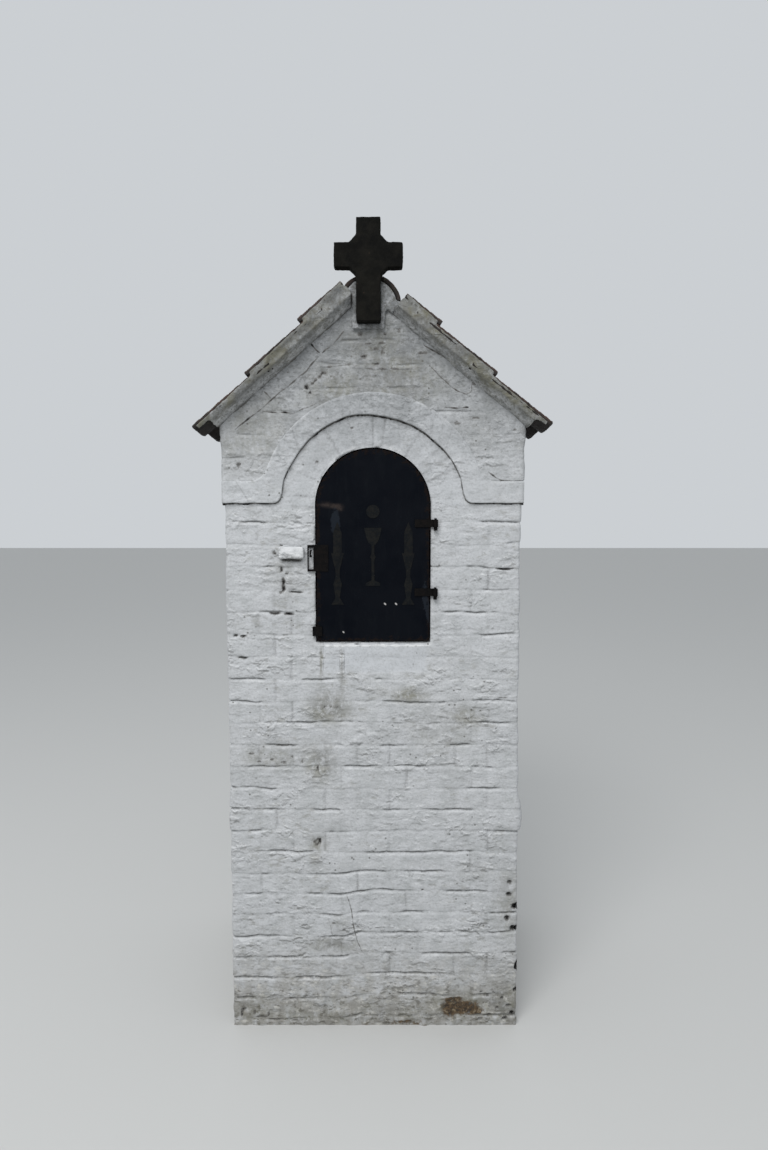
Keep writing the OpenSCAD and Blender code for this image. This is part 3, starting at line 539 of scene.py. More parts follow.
class Tree:
    """Short calls for laying out the nodes of a material or a group. Where a socket takes a
    colour, three numbers in steps of 0 to 255 may stand for it."""

    def __init__(self, tree):
        self.tree = tree
        self.places = {}
        self.base = None

    def feed(self, value, socket):
        """Joins an output to a socket, or sets the socket to a value."""
        if isinstance(value, bpy.types.NodeSocket):
            self.tree.links.new(value, socket)
        else:
            socket.default_value = colour(*value) if socket.type == "RGBA" else value

    def add(self, kind, inputs=None, **settings):
        made = self.tree.nodes.new(kind)
        for name, value in settings.items():
            setattr(made, name, value)
        for name, value in (inputs or {}).items():
            self.feed(value, made.inputs[name])
        return made

    def here(self, upright=1):
        """Object coordinates, with the height multiplied by a number."""
        if upright not in self.places:
            place = self.add("ShaderNodeTexCoord").outputs["Object"]
            if upright != 1:
                place = self.add("ShaderNodeMapping", {"Vector": place, "Scale": (1, 1, upright)})
                place = place.outputs["Vector"]
            self.places[upright] = place
        return self.places[upright]

    def grain(self, size, detail=4.0, rough=0.55, upright=1, place=None, twist=0.0):
        """Noise whose bumps are about the given size."""
        return self.add("ShaderNodeTexNoise", {
            "Vector": self.here(upright) if place is None else place, "Scale": 1 / size,
            "Detail": detail, "Roughness": rough, "Distortion": twist}).outputs["Fac"]

    def ramp(self, value, low, high, start=0.0, end=1.0):
        """A value eased from start at low to end at high."""
        return self.add("ShaderNodeMapRange", {
            "Value": value, "From Min": low, "From Max": high, "To Min": start, "To Max": end},
            interpolation_type="SMOOTHSTEP").outputs["Result"]

    def patches(self, low, high, *grain, start=0.0, end=1.0):
        """Grain of a size, detail, roughness and upright stretch, eased between low and high."""
        return self.ramp(self.grain(*grain), low, high, start, end)

    def dots(self, size, low, high):
        """Small round dots strewn about a size apart."""
        cells = self.add("ShaderNodeTexVoronoi", {"Vector": self.here(), "Scale": 1 / size})
        return self.ramp(cells.outputs["Distance"], low, high, 1.0, 0.0)

    def sum(self, operation, *values):
        return self.add("ShaderNodeMath", dict(enumerate(values)), operation=operation).outputs[0]

    def times(self, a, b):
        return self.sum("MULTIPLY", a, b)

    def mix(self, amount, a, b):
        """Colour a turned towards colour b by an amount."""
        return self.add("ShaderNodeMix", {0: amount, 6: a, 7: b}, data_type="RGBA").outputs[2]

    def lay(self, shade, mask, share=None):
        """Lays a shade over the base colour where a mask shows, in full or by a share."""
        amount = mask if share is None else self.times(mask, share)
        self.base = self.mix(amount, self.base, shade)

    def lichen(self, amount, share=None, shade=None):
        """Lays lichen over the base colour, in its own shade or in a given one."""
        growth = self.add("ShaderNodeGroup", {"Amount": amount}, node_tree=LICHEN).outputs
        self.lay(shade or growth["Color"], growth["Mask"], share)

    def height(self):
        """Height above the foot of the shrine."""
        return self.add("ShaderNodeSeparateXYZ", {"Vector": self.here()}).outputs["Z"]

    def wear(self):
        """The four channels painted on a piece, which carry damage and dirt and also painted shade
        and highlight.
        """
        layer = self.add("ShaderNodeVertexColor", layer_name="wear").outputs
        parts = self.add("ShaderNodeSeparateColor", {"Color": layer["Color"]}).outputs
        return parts["Red"], parts["Green"], parts["Blue"], layer["Alpha"]

    def finish(self, rough, height, depth):
        """Joins the base colour, a roughness and a bump to the shader."""
        shader = self.tree.nodes["Principled BSDF"]
        self.feed(self.base, shader.inputs["Base Color"])
        self.feed(rough, shader.inputs["Roughness"])
        bump = self.add("ShaderNodeBump", {"Height": height, "Strength": 1.0, "Distance": depth})
        self.feed(bump.outputs["Normal"], shader.inputs["Normal"])


def new_material(name, **settings):
    """A material and its layout helper; settings are values of the shader's own sockets, with
    underscores for the gaps in their names."""
    material = bpy.data.materials.new(name)
    material.use_nodes = True
    shader = material.node_tree.nodes["Principled BSDF"]
    for socket, value in settings.items():
        shader.inputs[socket.replace("_", " ")].default_value = value
    return material, Tree(material.node_tree)


def new_group(name, inputs, outputs):
    """An empty node group with named sockets; returns it, its layout helper and its ends."""
    group = bpy.data.node_groups.new(name, "ShaderNodeTree")
    for sockets, way in ((inputs, "INPUT"), (outputs, "OUTPUT")):
        for socket, kind in sockets.items():
            group.interface.new_socket(name=socket, in_out=way, socket_type=f"NodeSocket{kind}")
    t = Tree(group)
    return group, t, t.add("NodeGroupInput").outputs, t.add("NodeGroupOutput").inputs


def lichen_group():
    """Specks and blotches of lichen: a mask and its colour, with more of it as Amount rises."""
    group, t, enter, leave = new_group("lichen", {"Amount": "Float"},
                                       {"Mask": "Float", "Color": "Color"})
    field = t.sum("MULTIPLY_ADD", t.grain(0.05, 6.0, 0.7), 0.55,
                  t.times(t.grain(0.009, 3.0, 0.6), 0.45))
    edge = t.sum("SUBTRACT", 0.78, t.times(enter["Amount"], 0.34))
    t.feed(t.ramp(t.sum("SUBTRACT", field, edge), 0.0, 0.05), leave["Mask"])
    t.feed(t.mix(t.patches(0.4, 0.62, 0.03), (58, 59, 53), (128, 121, 88)), leave["Color"])
    return group


def coat_steps(t, place):
    """Height of flaked coats, patch by patch, and of the lumps between them, at a place."""
    first = t.grain(0.085, 4.5, 0.56, place=place, twist=0.4)
    second = t.grain(0.038, 4.0, 0.56, place=place, twist=0.6)
    patchy = t.ramp(t.grain(0.16, 3.0, place=place), 0.46, 0.66)
    steps = t.sum("MULTIPLY_ADD", t.ramp(first, 0.47, 0.545), 0.55,
                  t.times(t.ramp(second, 0.52, 0.60), 0.5))
    lumps = t.sum("MULTIPLY_ADD", t.grain(0.036, 3.5, 0.55, place=place), 1.5,
                  t.times(t.grain(0.011, 3.0, 0.6, place=place), 0.55))
    return t.sum("MULTIPLY_ADD", steps, patchy, lumps)


def coats_group():
    """Flaked coats of limewash: the height of the skin, with masks for painted shade under the
    lower edges of its flakes and for a painted highlight on their upper edges."""
    group, t, _, leave = new_group("flaked_coats_and_edge_light", {},
                                   {"Height": "Float", "PaintedShade": "Float", "PaintedHighlight": "Float"})
    place = t.here(2.0)
    above = t.add("ShaderNodeVectorMath", {0: place, 1: (0, 0, 9 * MM)}).outputs["Vector"]
    height = coat_steps(t, place)
    higher = coat_steps(t, above)
    t.feed(height, leave["Height"])
    t.feed(t.ramp(t.sum("SUBTRACT", higher, height), 0.03, 0.5), leave["PaintedShade"])
    t.feed(t.ramp(t.sum("SUBTRACT", height, higher), 0.05, 0.65), leave["PaintedHighlight"])
    return group


LICHEN = lichen_group()
COATS = coats_group()


def limewash(name, worn=0.0):
    """Many coats of white limewash over brick or mortar; worn makes it greyer."""
    material, t = new_material(name)
    joint_and_highlight, stain, bare, black = t.wear()
    height = t.height()
    coats = t.add("ShaderNodeGroup", node_tree=COATS).outputs
    flaky = t.times(t.ramp(stain, -1.0, 0.0), t.ramp(height, 1.05, 1.35, 1.0, 0.78))
    rough_area = t.patches(0.34, 0.66, 0.22, 3.0, start=0.25)
    t.base = t.mix(t.grain(0.35, 3.0), (186, 188, 191), (193, 194, 195))
    t.lay((174, 176, 177), t.patches(0.38, 0.7, 0.05, 6.0, 0.65))
    smudge = t.times(t.patches(0.52, 0.66, 0.032, 5.0, 0.7, 1.8), t.patches(0.46, 0.6, 0.19, 2.0))
    t.lay((142, 141, 135), smudge, 0.55)
    t.lay((192, 195, 199), t.sum("SUBTRACT", 1.0, flaky), 0.6)
    # Painted highlight on the upper edges of the flakes and painted shade under their lower edges,
    # and fine grime
    t.lay((218, 219, 220), t.times(coats["PaintedHighlight"], flaky), 0.75)
    t.lay((122, 122, 121), t.times(t.times(coats["PaintedShade"], flaky), rough_area), 0.85)
    t.lay((138, 138, 136), t.patches(0.42, 0.8, 0.007, 3.0, 0.7), 0.45)
    # Splashes and clots near the ground, and bright flecks there that are painted highlights on the
    # lumps
    low = t.ramp(height, 0.02, 0.34, 1.0, 0.0)
    t.lay((132, 127, 116), t.times(low, t.patches(0.36, 0.6, 0.045, 7.0, 0.7, start=0.15)), 0.7)
    t.lay((84, 80, 72), t.times(low, t.patches(0.52, 0.64, 0.026, 5.0, 0.62, 1.8)), 0.8)
    t.lay((196, 194, 188), t.times(low, t.patches(0.44, 0.34, 0.03, 4.0, 0.6, 1.6)), 0.95)
    # Grey weathering, crumbs and chalk towards the gable
    high = t.times(t.ramp(height, 1.72, 2.24), 0.85)
    t.lay((140, 143, 146), high, 0.42)
    t.lay((84, 84, 82), t.times(high, t.patches(0.5, 0.62, 0.0125, 5.0, 0.7, 1.5)), 0.75)
    t.lay((192, 194, 197), t.times(high, t.patches(0.43, 0.34, 0.015, 5.0, 0.7, 1.5)), 0.6)
    high = t.sum("ADD", high, worn)
    weathered = t.times(high, t.patches(0.34, 0.62, 0.05, 8.0, 0.72, start=0.25))
    t.lay((116, 118, 119), weathered, 0.88)
    # Open joints, painted highlights on edges that catch the light, and strewn dots
    t.lay((84, 83, 82), t.times(joint_and_highlight, t.patches(0.3, 0.58, 0.014, 4.0, 0.6, start=0.25)))
    lit = t.sum("MAXIMUM", t.times(joint_and_highlight, -1.0), 0.0)
    t.lay((216, 217, 218), t.times(lit, t.patches(0.3, 0.6, 0.02, 4.0, 0.6)))
    t.lay((84, 82, 78), t.times(t.dots(0.026, 0.09, 0.15), t.patches(0.5, 0.62, 0.14, 3.0)), 0.75)
    if worn:
        t.lay((78, 75, 68), t.patches(0.47, 0.62, 0.0075, 4.0, 0.75), 0.6)
    # Damp, lichen, bare brick, and open holes, whose black also carries painted shadow along the
    # hood mould and under the keeper
    damp = t.times(stain, t.patches(0.3, 0.58, 0.016, 7.0, 0.72, 0.7, start=0.3 if worn else 0.0))
    t.lay(t.mix(t.patches(0.42, 0.58, 0.09, 3.0), (108, 105, 87), (112, 111, 105)), damp, 0.8)
    t.lichen(t.sum("MINIMUM", t.times(high, 0.5), 0.36), 0.75)
    ragged = t.sum("MULTIPLY_ADD", t.grain(0.012, 7.0, 0.8), 2.2, t.sum("SUBTRACT", bare, 1.1))
    earth = t.mix(t.patches(0.4, 0.6, 0.012, 6.0, 0.75), (44, 37, 29), (90, 72, 50))
    earth = t.mix(t.patches(0.53, 0.62, 0.019, 5.0, 0.7), earth, (122, 109, 88))
    t.lay(earth, t.ramp(ragged, 0.2, 0.8))
    holes_and_shadow = t.sum("MULTIPLY_ADD", t.grain(0.006, 5.0, 0.75), 1.1, t.sum("SUBTRACT", black, 0.55))
    t.lay((92, 89, 85), t.ramp(holes_and_shadow, 0.28, 0.62), 0.75)
    t.lay((24, 23, 22), t.ramp(holes_and_shadow, 0.6, 0.98))
    skin = t.times(coats["Height"], t.ramp(flaky, 0.0, 1.0, 0.3, 1.0))
    t.finish(t.patches(0.3, 0.7, 0.03, start=0.82, end=0.95), skin, 2.8 * MM)
    return material


def clay_material():
    """Old clay pantiles, dark with soot and moss, and with painted shade underneath."""
    material, t = new_material("clay_pantile")
    t.base = t.mix(t.grain(0.12, 4.0), (44, 33, 28), (74, 50, 38))
    soot = t.patches(0.42, 0.62, 0.05, 6.0, 0.7)
    t.lay((31, 29, 27), soot, 0.85)
    t.lichen(0.62)
    t.lay((52, 53, 33), t.patches(0.56, 0.66, 0.09, 8.0, 0.7), 0.75)
    # Painted shade on the undersides and front ends of the tiles
    t.lay((17, 15, 14), t.wear()[3], 0.85)
    skin = t.sum("MULTIPLY_ADD", t.grain(0.008, 5.0, 0.65), 0.6,
                 t.times(t.patches(0.54, 0.68, 0.09, 8.0, 0.7), 1.2))
    t.finish(t.ramp(soot, 0.0, 1.0, 0.72, 0.9), skin, 1.5 * MM)
    return material


def dark_stone_material():
    """Dark cement stone of the cross, with specks of lichen."""
    material, t = new_material("dark_stone", Specular_IOR_Level=0.08)
    t.base = t.mix(t.patches(0.35, 0.65, 0.05, 6.0, 0.7), (13, 13, 12), (24, 23, 20))
    t.lichen(0.42, 0.5, (66, 58, 46))
    t.lay((92, 72, 58), t.times(t.dots(0.016, 0.07, 0.12), t.patches(0.5, 0.6, 0.05, 3.0)), 0.5)
    fine = t.grain(0.004, 4.0, 0.7)
    t.finish(t.ramp(fine, 0.3, 0.7, 0.78, 0.95), fine, 1.2 * MM)
    return material


def mortar_material():
    """Bare lime mortar."""
    material, t = new_material("bare_mortar")
    t.base = t.mix(t.patches(0.35, 0.65, 0.05, 6.0, 0.7), (150, 145, 134), (112, 107, 97))
    t.lichen(0.4, 0.7)
    t.finish(0.93, t.grain(0.005, 5.0, 0.7), 1.5 * MM)
    return material


def door_material():
    """Black paint on an iron sheet, dulled, flaked and rusting along the edges."""
    material, t = new_material("door_paint", Specular_IOR_Level=0.05)
    edge, flaked, rusty, dot = t.wear()
    t.base = t.mix(t.patches(0.35, 0.65, 0.10, 5.0, 0.6), (5, 8, 15), (10, 13, 19))
    t.lay((26, 29, 32), t.patches(0.48, 0.78, 0.022, 6.0, 0.7, 0.25), 0.25)
    spots = t.sum("MULTIPLY_ADD", edge, 0.26, t.times(t.grain(0.016, 7.0, 0.7), 0.9))
    rust = t.ramp(spots, 0.58, 0.68)
    t.lay(t.mix(t.grain(0.01, 4.0), (18, 15, 14), (38, 28, 23)), rust, 0.7)
    t.lay((56, 49, 46), t.times(rusty, t.patches(0.3, 0.6, 0.012, 5.0, 0.7, start=0.35)))
    chips = t.sum("MULTIPLY_ADD", flaked, 0.55, t.times(t.grain(0.008, 5.0, 0.75), 0.9))
    t.lay((36, 41, 48), t.ramp(chips, 0.70, 0.78), 0.6)
    t.lay((176, 174, 172), t.ramp(dot, 0.35, 0.7))
    skin = t.sum("MULTIPLY_ADD", t.grain(0.005, 3.0), 0.3, t.times(rust, 0.5))
    t.finish(t.ramp(rust, 0.0, 1.0, 0.5, 0.85), skin, 1.0 * MM)
    return material


def iron_material(name, low, high, rough):
    """Forged iron under old paint and rust."""
    material, t = new_material(name, Specular_IOR_Level=0.08)
    t.base = t.mix(t.patches(0.38, 0.62, 0.014, 6.0, 0.7), low, high)
    t.lay((14, 13, 13), t.patches(0.5, 0.7, 0.006, 4.0), 0.5)
    t.finish(rough, t.grain(0.004, 4.0, 0.7), 1.0 * MM)
    return material


WHITEWASH = limewash("limewash")
WORN_WASH = limewash("worn_limewash", 0.45)
CLAY = clay_material()
DARK_STONE = dark_stone_material()
MORTAR = mortar_material()
DOOR_PAINT = door_material()
IRON = iron_material("rusty_iron", (7, 7, 8), (17, 14, 13), 0.7)
ORNAMENT = iron_material("ornament_sheet", (15, 18, 21), (26, 26, 25), 0.65)


# Lower walls: the front with its opening, then the sides and the back

def ring_relief(p):
    """Bricks on end round the opening: faint radial joints under smooth limewash."""
    angle = math.atan2(p.z - SPRING_Z, p.x)
    place = angle / math.pi * RING_BRICKS
    n = round(place)
    off = abs(place - n) * math.pi / RING_BRICKS * math.hypot(p.x, p.z - SPRING_Z)
    groove = 1.3 * MM * chance(n, 5, 2) * fade(off, 6 * MM)
    return 0.6 * limewash_swell(p) - groove, 0.35 * groove / MM


def edge_bulge(p):
    """Mortar swelling out at the upright edges, more at the right one."""
    near = fade(BODY_HALF - abs(p.x), 70 * MM) * fade(p.y - FRONT_Y, 130 * MM)
    return (12 if p.x > 0 else 4) * MM * near * fade(abs(p.z - BULGE_Z) - 30 * MM, 40 * MM)


def add_lines(bm, lines, relief, plan):
    """Thin open joints, and painted highlights where the darkness is below nothing, that follow the
    relief of a wall's front.
    """
    half, front, _ = plan
    wear = bm.verts.layers.float_color["wear"]
    for width, dark, *points in lines:
        points = [Vector(q) * MM for q in points]
        lengths = [(b - a).length for a, b in zip(points, points[1:])]
        steps = max(4, round(sum(lengths) / (4 * MM)))
        made = bmesh.ops.create_grid(bm, x_segments=steps, y_segments=4, size=1)
        for v in made["verts"]:
            run = (v.co.x + 1) / 2 * sum(lengths)
            k, left = 0, run
            while k < len(lengths) - 1 and left > lengths[k]:
                left -= lengths[k]
                k += 1
            along = (points[k + 1] - points[k]).normalized()
            across = Vector((-along.y, along.x))
            ragged = wander(run / 0.02, dark * 40, width) * 1.4
            end = fade(abs(v.co.x) - 0.8, 0.2)
            wide = width * MM * (0.5 + 0.3 * ragged) * (0.4 + 0.6 * end)
            sway = 2.2 * MM * wander(run / 0.03, width, dark * 9)
            spot = points[k] + along * left + across * (sway + v.co.y * wide)
            height = relief(Vector((spot.x, front, spot.y)), spot.x + half, 0)[0]
            edge = abs(v.co.y) > 0.9
            v.co = Vector((spot.x, front - height + (0.8 if edge else -0.7) * MM, spot.y))
            if dark < 0:
                v[wear] = (dark * (0.8 + 0.4 * ragged), 0, 0, 0)
            else:
                v[wear] = (0.5 * dark, 0.2, 0, clamp(dark + 0.35 * ragged) * (0.5 if edge else 1))
    bmesh.ops.recalc_face_normals(bm, faces=bm.faces)


def lower_bricks(p, along, face, filled=0.0):
    """Brickwork of the lower walls, lumpy near the ground, with dark splashes and painted
    highlights strewn there.
    """
    height, joint_and_highlight = brick_relief(p, along, face, FIRST_BED, filled)
    height += 3.4 * MM * swell(p, 0.03, 15) * clamp(1.2 - p.z / 0.19)
    return height, joint_and_highlight + 0.22 * swell(p, 0.02, 27) * clamp(1.2 - p.z / 0.15)


def lower_front_relief(p, along, face):
    gap = opening_distance(p.x, p.z)
    sill = fade(abs(p.x) - NICHE_R + 25 * MM, 30 * MM) if p.z < FLOOR_Z else 0.0
    sill *= fade(FLOOR_Z - 92 * MM - p.z, 12 * MM)
    height, joint_and_highlight = lower_bricks(p, along, face, sill)
    radius = math.hypot(p.x, p.z - SPRING_Z)
    share = 0.0
    if p.z > SPRING_Z - 20 * MM:
        ring, ring_joint = ring_relief(p)
        share = fade(SPRING_Z + 10 * MM - p.z, 30 * MM) * fade(radius - ARCH_R, 8 * MM)
        height += (ring - height) * share
        joint_and_highlight += (ring_joint - joint_and_highlight) * share
    height *= 1 - 0.6 * fade(gap, 60 * MM)
    depth, stain, bare, black = front_wear_and_shadow(p.x, p.z)
    height += edge_bulge(p) - depth - 3.5 * MM * fade(gap, 7 * MM)
    stain -= max(sill, 0.45 * share) * (1 - stain)
    # A pale band round the opening in the lit colour: thick fresh limewash over the arch, and a
    # painted highlight along the sill's top edge
    rim = 0.85 if p.z < FLOOR_Z or p.z > SPRING_Z + 60 * MM else 0.3
    joint_and_highlight -= rim * fade(abs(gap - 6 * MM), 8 * MM) * clamp(0.8 + swell(p, 0.07, 2))
    return height, (joint_and_highlight, stain, bare, black)


def side_relief(p, along, face):
    height, joint_and_highlight = lower_bricks(p, along, face)
    stain = 0.35 * clamp(swell(p, 0.3, 6)) + 0.3 * fade(p.z, 0.4)
    return height + edge_bulge(p), (joint_and_highlight, stain, 0.0, 0.0)


def cut_opening(bm):
    """Cuts the arched opening out of the flat front and draws its edge onto the outline."""
    drop_faces(bm, lambda x, z: opening_distance(x, z) < 0)
    rim = [v for v in bm.verts if v.is_boundary and opening_distance(v.co.x, v.co.y) < 8 * MM
           and v.co.y > FLOOR_Z - 9 * MM]
    for v in rim:
        x, z = v.co.x, v.co.y
        if z > SPRING_Z:
            scale = NICHE_R / math.hypot(x, z - SPRING_Z)
            v.co = Vector((x * scale, SPRING_Z + (z - SPRING_Z) * scale, 0))
        else:
            beside = abs(abs(x) - NICHE_R) < 6 * MM
            v.co = Vector((math.copysign(NICHE_R, x) if beside else x,
                           max(z, FLOOR_Z) if beside and abs(z - FLOOR_Z) > 4 * MM else FLOOR_Z, 0))
    return rim


def line_niche(bm, rim):
    """Carries the edge of the opening inwards as the walls, floor and vault of the niche."""
    wear = bm.verts.layers.float_color["wear"]
    edges = list(dict.fromkeys(e for v in rim for e in v.link_edges if e.is_boundary))
    for depth in NICHE_ROWS:
        made = bmesh.ops.extrude_edge_only(bm, edges=edges)
        edges = [g for g in made["geom"] if isinstance(g, bmesh.types.BMEdge)]
        for v in {v for e in edges for v in e.verts}:
            x, z = v.co.x, v.co.z
            away = 1.2 * MM * swell(v.co, 0.05, 2) + 0.8 * MM
            inset = 0.4 * MM if depth < NICHE_ROWS[-1] else 0
            v.co = Vector((x, FRONT_Y + depth * MM + inset, z))
            if depth > NICHE_ROWS[0]:
                v.co.x += math.copysign(away * 0.2, x)
            v[wear] = (0.1, 0.1, 0, 0)
    back = bmesh.ops.contextual_create(bm, geom=edges)
    for f in back["faces"]:
        f.smooth = False


def build_lower_front():
    corner, straight = corner_ends(LOWER)[0], BODY_HALF - CORNER_R
    right = stations([NICHE_R, straight, corner], LOWER_STEP)
    middle = stations([-NICHE_R, NICHE_R], LOWER_STEP)
    columns = [-s for s in reversed(right)] + middle[1:-1] + right
    rows = course_rows(0.0, SPRING_Z + ARCH_R + 5 * MM, FIRST_BED)
    bm = flat_grid(columns, rows, LOWER, FIRST_BED)
    drop_faces(bm, lambda x, z: z > STRING_Z + 8 * MM
               and math.hypot(x, z - SPRING_Z) > ARCH_R + 16 * MM)
    rim = cut_opening(bm)
    raise_walls(bm, LOWER, lower_front_relief)
    line_niche(bm, rim)
    add_lines(bm, CRACKS_AND_HIGHLIGHTS, lower_front_relief, LOWER)
    add_piece("lower_front", bm, WHITEWASH, "whitewash",
              ("pillar", "left_jamb", "right_jamb", "arch_ring", "niche_vault", "niche_floor"))


def build_rear(part, plan, step, rows, first_bed, relief, replaces):
    """Sides and back, in two pieces that meet in the middle of the back."""
    first, second, third = corner_ends(plan)
    right = stations([first, second], step) + stations([second, third], CORNER_STEP)[1:]
    right += stations([third, third + plan[0] - CORNER_R], step)[1:]
    for side, columns in (("right", right), ("left", [-s for s in reversed(right)])):
        bm = flat_grid(columns, rows, plan, first_bed)
        drop_faces(bm, lambda s, z: over_roof(wall_path(s, plan)[0], z))
        raise_walls(bm, plan, relief)
        add_piece(f"{part}_{side}_walls", bm, WHITEWASH, "whitewash", replaces)


# Upper block: gable front with its raking courses

def raking_relief(p, depth, down):
    """Bricks laid along the slope under the verge."""
    pitch = 2 * HALF_BRICK
    n = round(down / pitch)
    open_by = 0.1 + 0.9 * chance(n, 9, p.x > 0) ** 2
    cross = 2.6 * MM * open_by * fade(abs(down - n * pitch), 6 * MM)
    edge = 1.5 * MM * fade(abs(depth - RAKE_T), 12 * MM)
    height = RAKE_PROUD + limewash_swell(p) + 1.0 * MM * wander(n * 3.7, p.x > 0, 2)
    return height - max(cross, edge), clamp(0.3 * cross / (3 * MM))


def upper_relief(p, along, face):
    height, joint_and_highlight = brick_relief(p, along, face, HOOD_TOP_Z, 0.0 if face else 0.5)
    if face in (0, 2):
        depth, down = slope_depth(p.x, p.z)
        if depth < RAKE_T + 9 * MM:
            rake, rake_joint = raking_relief(p, depth, down)
            share = fade(depth - RAKE_T, 9 * MM)
            height += (rake - height) * share
            joint_and_highlight += (rake_joint - joint_and_highlight) * share
    height -= 2 * MM * fade(p.z - STRING_Z, 4 * MM)
    if p.z <= STRING_Z + 0.1 * MM:
        height -= 9 * MM
    stain = 0.25 * clamp(swell(p, 0.2, 6))
    if face:
        return height, (joint_and_highlight, stain, 0.0, 0.0)
    worn, spot_stain, bare, black = front_wear_and_shadow(p.x, p.z)
    return height - worn, (joint_and_highlight, max(stain, spot_stain), bare, black)


def under_hood(x, z):
    """True where the hood mould covers the gable."""
    if math.hypot(x, z - SPRING_Z) < HOOD_OUT_R - 14 * MM:
        return True
    return z < HOOD_TOP_Z - 14 * MM


def over_roof(x, z):
    return slope_depth(x, z)[0] < -7 * MM


def build_upper_front():
    right = stations([0.0, UPPER_HALF - CORNER_R, corner_ends(UPPER)[0]], UPPER_STEP)
    columns = [-s for s in reversed(right)] + right[1:]
    rows = course_rows(STRING_Z, APEX_Z + 6 * MM, HOOD_TOP_Z)
    bm = flat_grid(columns, rows, UPPER, HOOD_TOP_Z)
    drop_faces(bm, lambda x, z: under_hood(x, z)
               or over_roof(clamp(x, -UPPER_HALF, UPPER_HALF), z))
    raise_walls(bm, UPPER, upper_relief)
    add_lines(bm, GABLE_LINES, upper_relief, UPPER)
    add_piece("upper_front", bm, WHITEWASH, "whitewash", ("front_gable", "front_rakes"))


build_lower_front()
build_rear("lower", LOWER, LOWER_REAR_STEP, course_rows(0.0, STRING_Z + 8 * MM, FIRST_BED),
           FIRST_BED, side_relief, ("niche_back",))
build_upper_front()
build_rear("upper", UPPER, UPPER_REAR_STEP,
           course_rows(STRING_Z, APEX_Z + 6 * MM, HOOD_TOP_Z,
                       [STRING_Z + 0.8 * MM, STRING_Z + 3 * MM, STRING_Z + 6 * MM]),
           HOOD_TOP_Z, upper_relief,
           ("left_haunch", "right_haunch", "crown", "back_gable", "back_rakes"))


# Hood mould: a band that runs level, sweeps up and arches over the niche

# Points along the level part, the sweep and half the arch, and about how many millimetres apart
# they lie
LEVEL_POINTS, SWEEP_POINTS, ARCH_POINTS, POINT_STEP = 30, 16, 100, 6.5
# The joint under the arch, painted dark as the band's shadow, is widest and darkest round this
# angle, this far to either side of it, and fades over so many degrees more
WIDE_ANGLE, WIDE_REACH, WIDE_FADE = 84, 38, 26


def hood_edges():
    """Matching points along the inner and the outer edge, from the right end over the crown to
    the left end."""
    rise = HOOD_TOP_Z + HOOD_SWEEP_R - SPRING_Z
    sweep_x = math.sqrt((HOOD_OUT_R + HOOD_SWEEP_R) ** 2 - rise ** 2)
    inner_start = math.atan2(HOOD_FOOT_R + STRING_Z - SPRING_Z, HOOD_FOOT_X)
    outer_start = math.atan2(rise, sweep_x)
    points = []
    for i in range(LEVEL_POINTS):
        t = i / LEVEL_POINTS
        points.append(((UPPER_HALF + (HOOD_FOOT_X + HOOD_FOOT_R - UPPER_HALF) * t, STRING_Z),
                       (UPPER_HALF + (sweep_x - UPPER_HALF) * t, HOOD_TOP_Z)))
    for i in range(SWEEP_POINTS):
        t = i / SWEEP_POINTS
        a = -math.pi / 2 - t * math.pi / 2
        b = -math.pi / 2 - t * (math.pi / 2 - outer_start)
        points.append(((HOOD_FOOT_X + HOOD_FOOT_R * (1 + math.cos(a)),
                        STRING_Z + HOOD_FOOT_R * (1 + math.sin(a))),
                       (sweep_x + HOOD_SWEEP_R * math.cos(b),
                        HOOD_TOP_Z + HOOD_SWEEP_R * (1 + math.sin(b)))))
    for i in range(ARCH_POINTS + 1):
        t = i / ARCH_POINTS
        a = inner_start + (math.pi / 2 - inner_start) * t
        b = outer_start + (math.pi / 2 - outer_start) * t
        points.append(((ARCH_R * math.cos(a), SPRING_Z + ARCH_R * math.sin(a)),
                       (HOOD_OUT_R * math.cos(b), SPRING_Z + HOOD_OUT_R * math.sin(b))))
    points += [((-a[0], a[1]), (-b[0], b[1])) for a, b in reversed(points[:-1])]
    bent = []
    for inner, outer in points:
        x, z = inner
        if z > STRING_Z + 1 * MM:
            scale = arch_radius(x, z) / ARCH_R
            inner = (x * scale, SPRING_Z + (z - SPRING_Z) * scale)
        bent.append((Vector(inner), Vector(outer)))
    return bent


# Rows of the open joint on the wall along the band's inner edge, painted dark as the band's shadow,
# as shares of its width, then the band's section: share of its width, and how far in from its front
# face in millimetres
HOOD_JOINT = [-1.0, -0.72, -0.3, 0.0]
HOOD_SECTION = [(0.0, 7), (0.0, 4.5), (0.004, 2.4), (0.014, 1), (0.03, 0.3), (0.055, 0.0)]
HOOD_SECTION += [(0.055 + 0.88 * i / 16, 0.0) for i in range(1, 17)]
HOOD_SECTION += [(0.96, 0.3), (0.985, 1.2), (0.997, 3), (1.0, 6), (1.0, 13)]


def hood_joint(spot, run):
    """Width and darkness of the open mortar gap along the inner edge of the hood mould; the
    darkness is a painted shadow.
    """
    level = spot.y < STRING_Z + 1 * MM
    angle = math.degrees(math.atan2(spot.y - SPRING_Z, spot.x))
    over = fade(abs(angle - WIDE_ANGLE) - WIDE_REACH, WIDE_FADE)
    ragged = wander(run / 0.035, 2.0, 5.0) + 0.6 * wander(run / 0.011, 7, 1)
    width = (6.2 if level else 4.6 + 2 * over) * MM + 2.8 * MM * ragged
    dark = (0.86 if level else 0.56 + 0.24 * over) + 0.4 * ragged
    return max(1.5 * MM, width), clamp(dark)


